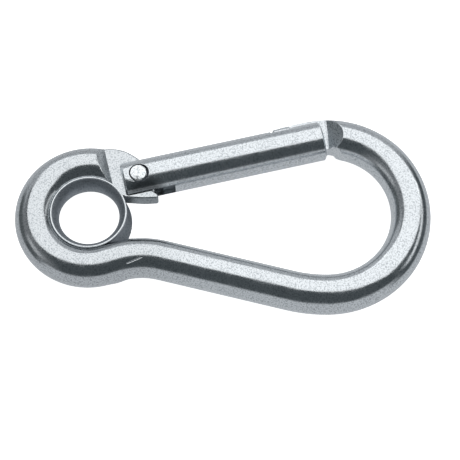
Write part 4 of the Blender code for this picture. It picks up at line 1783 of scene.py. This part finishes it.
@dataclass(frozen=True)
class RoomLayer:
    """A part of the room that the steel mirrors: its colour, and soft steps along the axes that bound it.

    Each step is an axis, where along it the layer starts to show and where it shows fully.
    """

    colour: Colour
    steps: tuple[tuple[str, float, float], ...]

    def mask(self, tree: NodeTree, parts: Node) -> NodeSocket:
        """Where the layer shows: all of its steps together.

        Args:
            tree: The tree that it goes into.
            parts: The node that gives the ray's parts along the axes.

        Returns:
            The mask's output.
        """
        shown = None
        for axis, start, full in self.steps:
            step = remap(tree, parts.outputs[axis], (start, full), way="SMOOTHSTEP")
            if shown is None:
                shown = step
            else:
                times = {"operation": "MULTIPLY"}
                shown = add_node(tree, "ShaderNodeMath", times, {0: shown, 1: step}).outputs[0]
        return shown


@dataclass
class Studio:
    """The white table, the soft lights round it and the camera above it.

    The room is dark on the camera's side, grey behind and pale from below. Its layers lie over its shade.
    """

    aim: Vector
    camera_distance: float = 470 * MM
    camera_tilt: float = math.radians(23)
    focal_pixels: float = 1883.0
    image_pixels: float = 460.0
    sensor_width: float = 36.0
    clip_start: float = 10 * MM
    table_size: float = 3.0
    table_colour: str = "#F2F2F2"
    table_roughness: float = 0.8
    table_glow_colour: str = "#FFFFFF"
    table_glow: float = 1.0
    lamps: tuple[Lamp, ...] = (
        Lamp("soft_box", side=6, back=29, width=84, depth=69, glow=1.31),
        Lamp("left_lamp", side=-62, back=-14, width=26, depth=16, glow=0.35),
        Lamp("right_lamp", side=67, back=12, width=50, depth=10, glow=1.0, distance=0.29),
    )
    backdrop_colour: str = "#FFFFFF"
    shade: Colour = (0.085, 0.098, 0.105, 1)
    layers: tuple[RoomLayer, ...] = (
        # Dim all along the left
        RoomLayer((0.27, 0.28, 0.29, 1), (("X", -0.45, -0.80),)),
        # A grey wall behind
        RoomLayer((0.53, 0.55, 0.57, 1), (("Y", 0.25, 0.60), ("Z", 0.55, 0.40), ("X", 0.72, 0.50))),
        # Darker again low on the left
        RoomLayer((0.13, 0.145, 0.15, 1), (("X", -0.70, -0.85), ("Z", 0.42, 0.22))),
        # A pale strip low in front, and pale all round from below, as the lit table throws it back
        RoomLayer((0.64, 0.66, 0.68, 1), (("Y", -0.35, -0.70), ("Z", 0.32, 0.18))),
        RoomLayer((0.64, 0.66, 0.68, 1), (("Z", -0.10, -0.20),)),
    )

    def build_table(self) -> None:
        """Lays the white light table, which shows the camera no shadow and the steel only a soft grey."""
        bpy.ops.object.select_all(action="DESELECT")
        bpy.ops.mesh.primitive_plane_add(size=self.table_size, location=(0, 0, 0))
        table = bpy.context.object
        table.name = "light_table"
        table.visible_glossy = False
        material = bpy.data.materials.new("lit_opal_acrylic")
        material.use_nodes = True
        shader = material.node_tree.nodes["Principled BSDF"]
        shader.inputs["Base Color"].default_value = linear(self.table_colour)
        shader.inputs["Roughness"].default_value = self.table_roughness
        shader.inputs["Emission Color"].default_value = linear(self.table_glow_colour)
        shader.inputs["Emission Strength"].default_value = self.table_glow
        table.data.materials.append(material)

    def build_room(self) -> None:
        """Surrounds the table with the room that the steel mirrors, and shows the camera plain white."""
        world = bpy.data.worlds.new("studio_room")
        world.use_nodes = True
        tree = world.node_tree
        tree.nodes.clear()
        ray = add_node(tree, "ShaderNodeTexCoord", {}, {}).outputs["Generated"]
        parts = add_node(tree, "ShaderNodeSeparateXYZ", {}, {"Vector": ray})
        under = {}
        for layer in self.layers:
            colours = {"Color1": self.shade, "Color2": layer.colour}
            under = {"Color1": mix(tree, colours, {"Fac": layer.mask(tree, parts), **under})}
        room = add_node(tree, "ShaderNodeBackground", {}, {"Color": under["Color1"]}).outputs[0]
        white = {"Color": linear(self.backdrop_colour)}
        backdrop = add_node(tree, "ShaderNodeBackground", white, {}).outputs[0]
        by_camera = add_node(tree, "ShaderNodeLightPath", {}, {}).outputs["Is Camera Ray"]
        seen = add_node(tree, "ShaderNodeMixShader", {}, {"Fac": by_camera, 1: room, 2: backdrop})
        add_node(tree, "ShaderNodeOutputWorld", {}, {"Surface": seen.outputs["Shader"]})
        bpy.context.scene.world = world

    def build_camera(self) -> None:
        """Stands the camera over the table, where the photograph was taken from."""
        data = bpy.data.cameras.new("camera")
        data.sensor_width = self.sensor_width
        data.lens = self.focal_pixels * self.sensor_width / self.image_pixels
        data.clip_start = self.clip_start
        camera = bpy.data.objects.new("camera", data)
        away = Vector((0, -math.sin(self.camera_tilt), math.cos(self.camera_tilt)))
        camera.location = self.aim + away * self.camera_distance
        camera.rotation_euler = (self.camera_tilt, 0, 0)
        bpy.context.collection.objects.link(camera)
        bpy.context.scene.camera = camera

    def build(self) -> None:
        """Sets up the whole studio."""
        bpy.context.scene.view_settings.view_transform = "Standard"
        self.build_table()
        for lamp in self.lamps:
            lamp.hang(self.aim)
        self.build_room()
        self.build_camera()


# The place on the hook that the camera and the lamps are aimed at
AIM = Vector((1.793, -3.854, 5.0)) * MM


def main() -> None:
    """Builds and dresses the pieces in order, then the studio round them."""
    logging.basicConfig(level=logging.INFO, format="%(name)s: %(message)s")
    hook = HookFrame(Datum(), Fits())
    bar = hook.dress(hook.build())
    eyelet = Eyelet(hook)
    sleeve = eyelet.dress(eyelet.build())
    gate = Gate(hook)
    gate_bar = gate.dress(gate.build())
    rivet = Rivet(gate)
    rivet_piece = rivet.dress(rivet.build())
    plunger = Plunger(gate)
    spring = GateSpring(plunger)
    pin = plunger.dress(plunger.build(spring.coil_radius - spring.wire_radius))
    coil = spring.dress(spring.build())
    for piece in (bar, sleeve, gate_bar, rivet_piece, pin, coil):
        LOG.info("%s: %d faces", piece.name, len(piece.data.polygons))
    Studio(AIM).build()


if __name__ == "__main__":
    main()
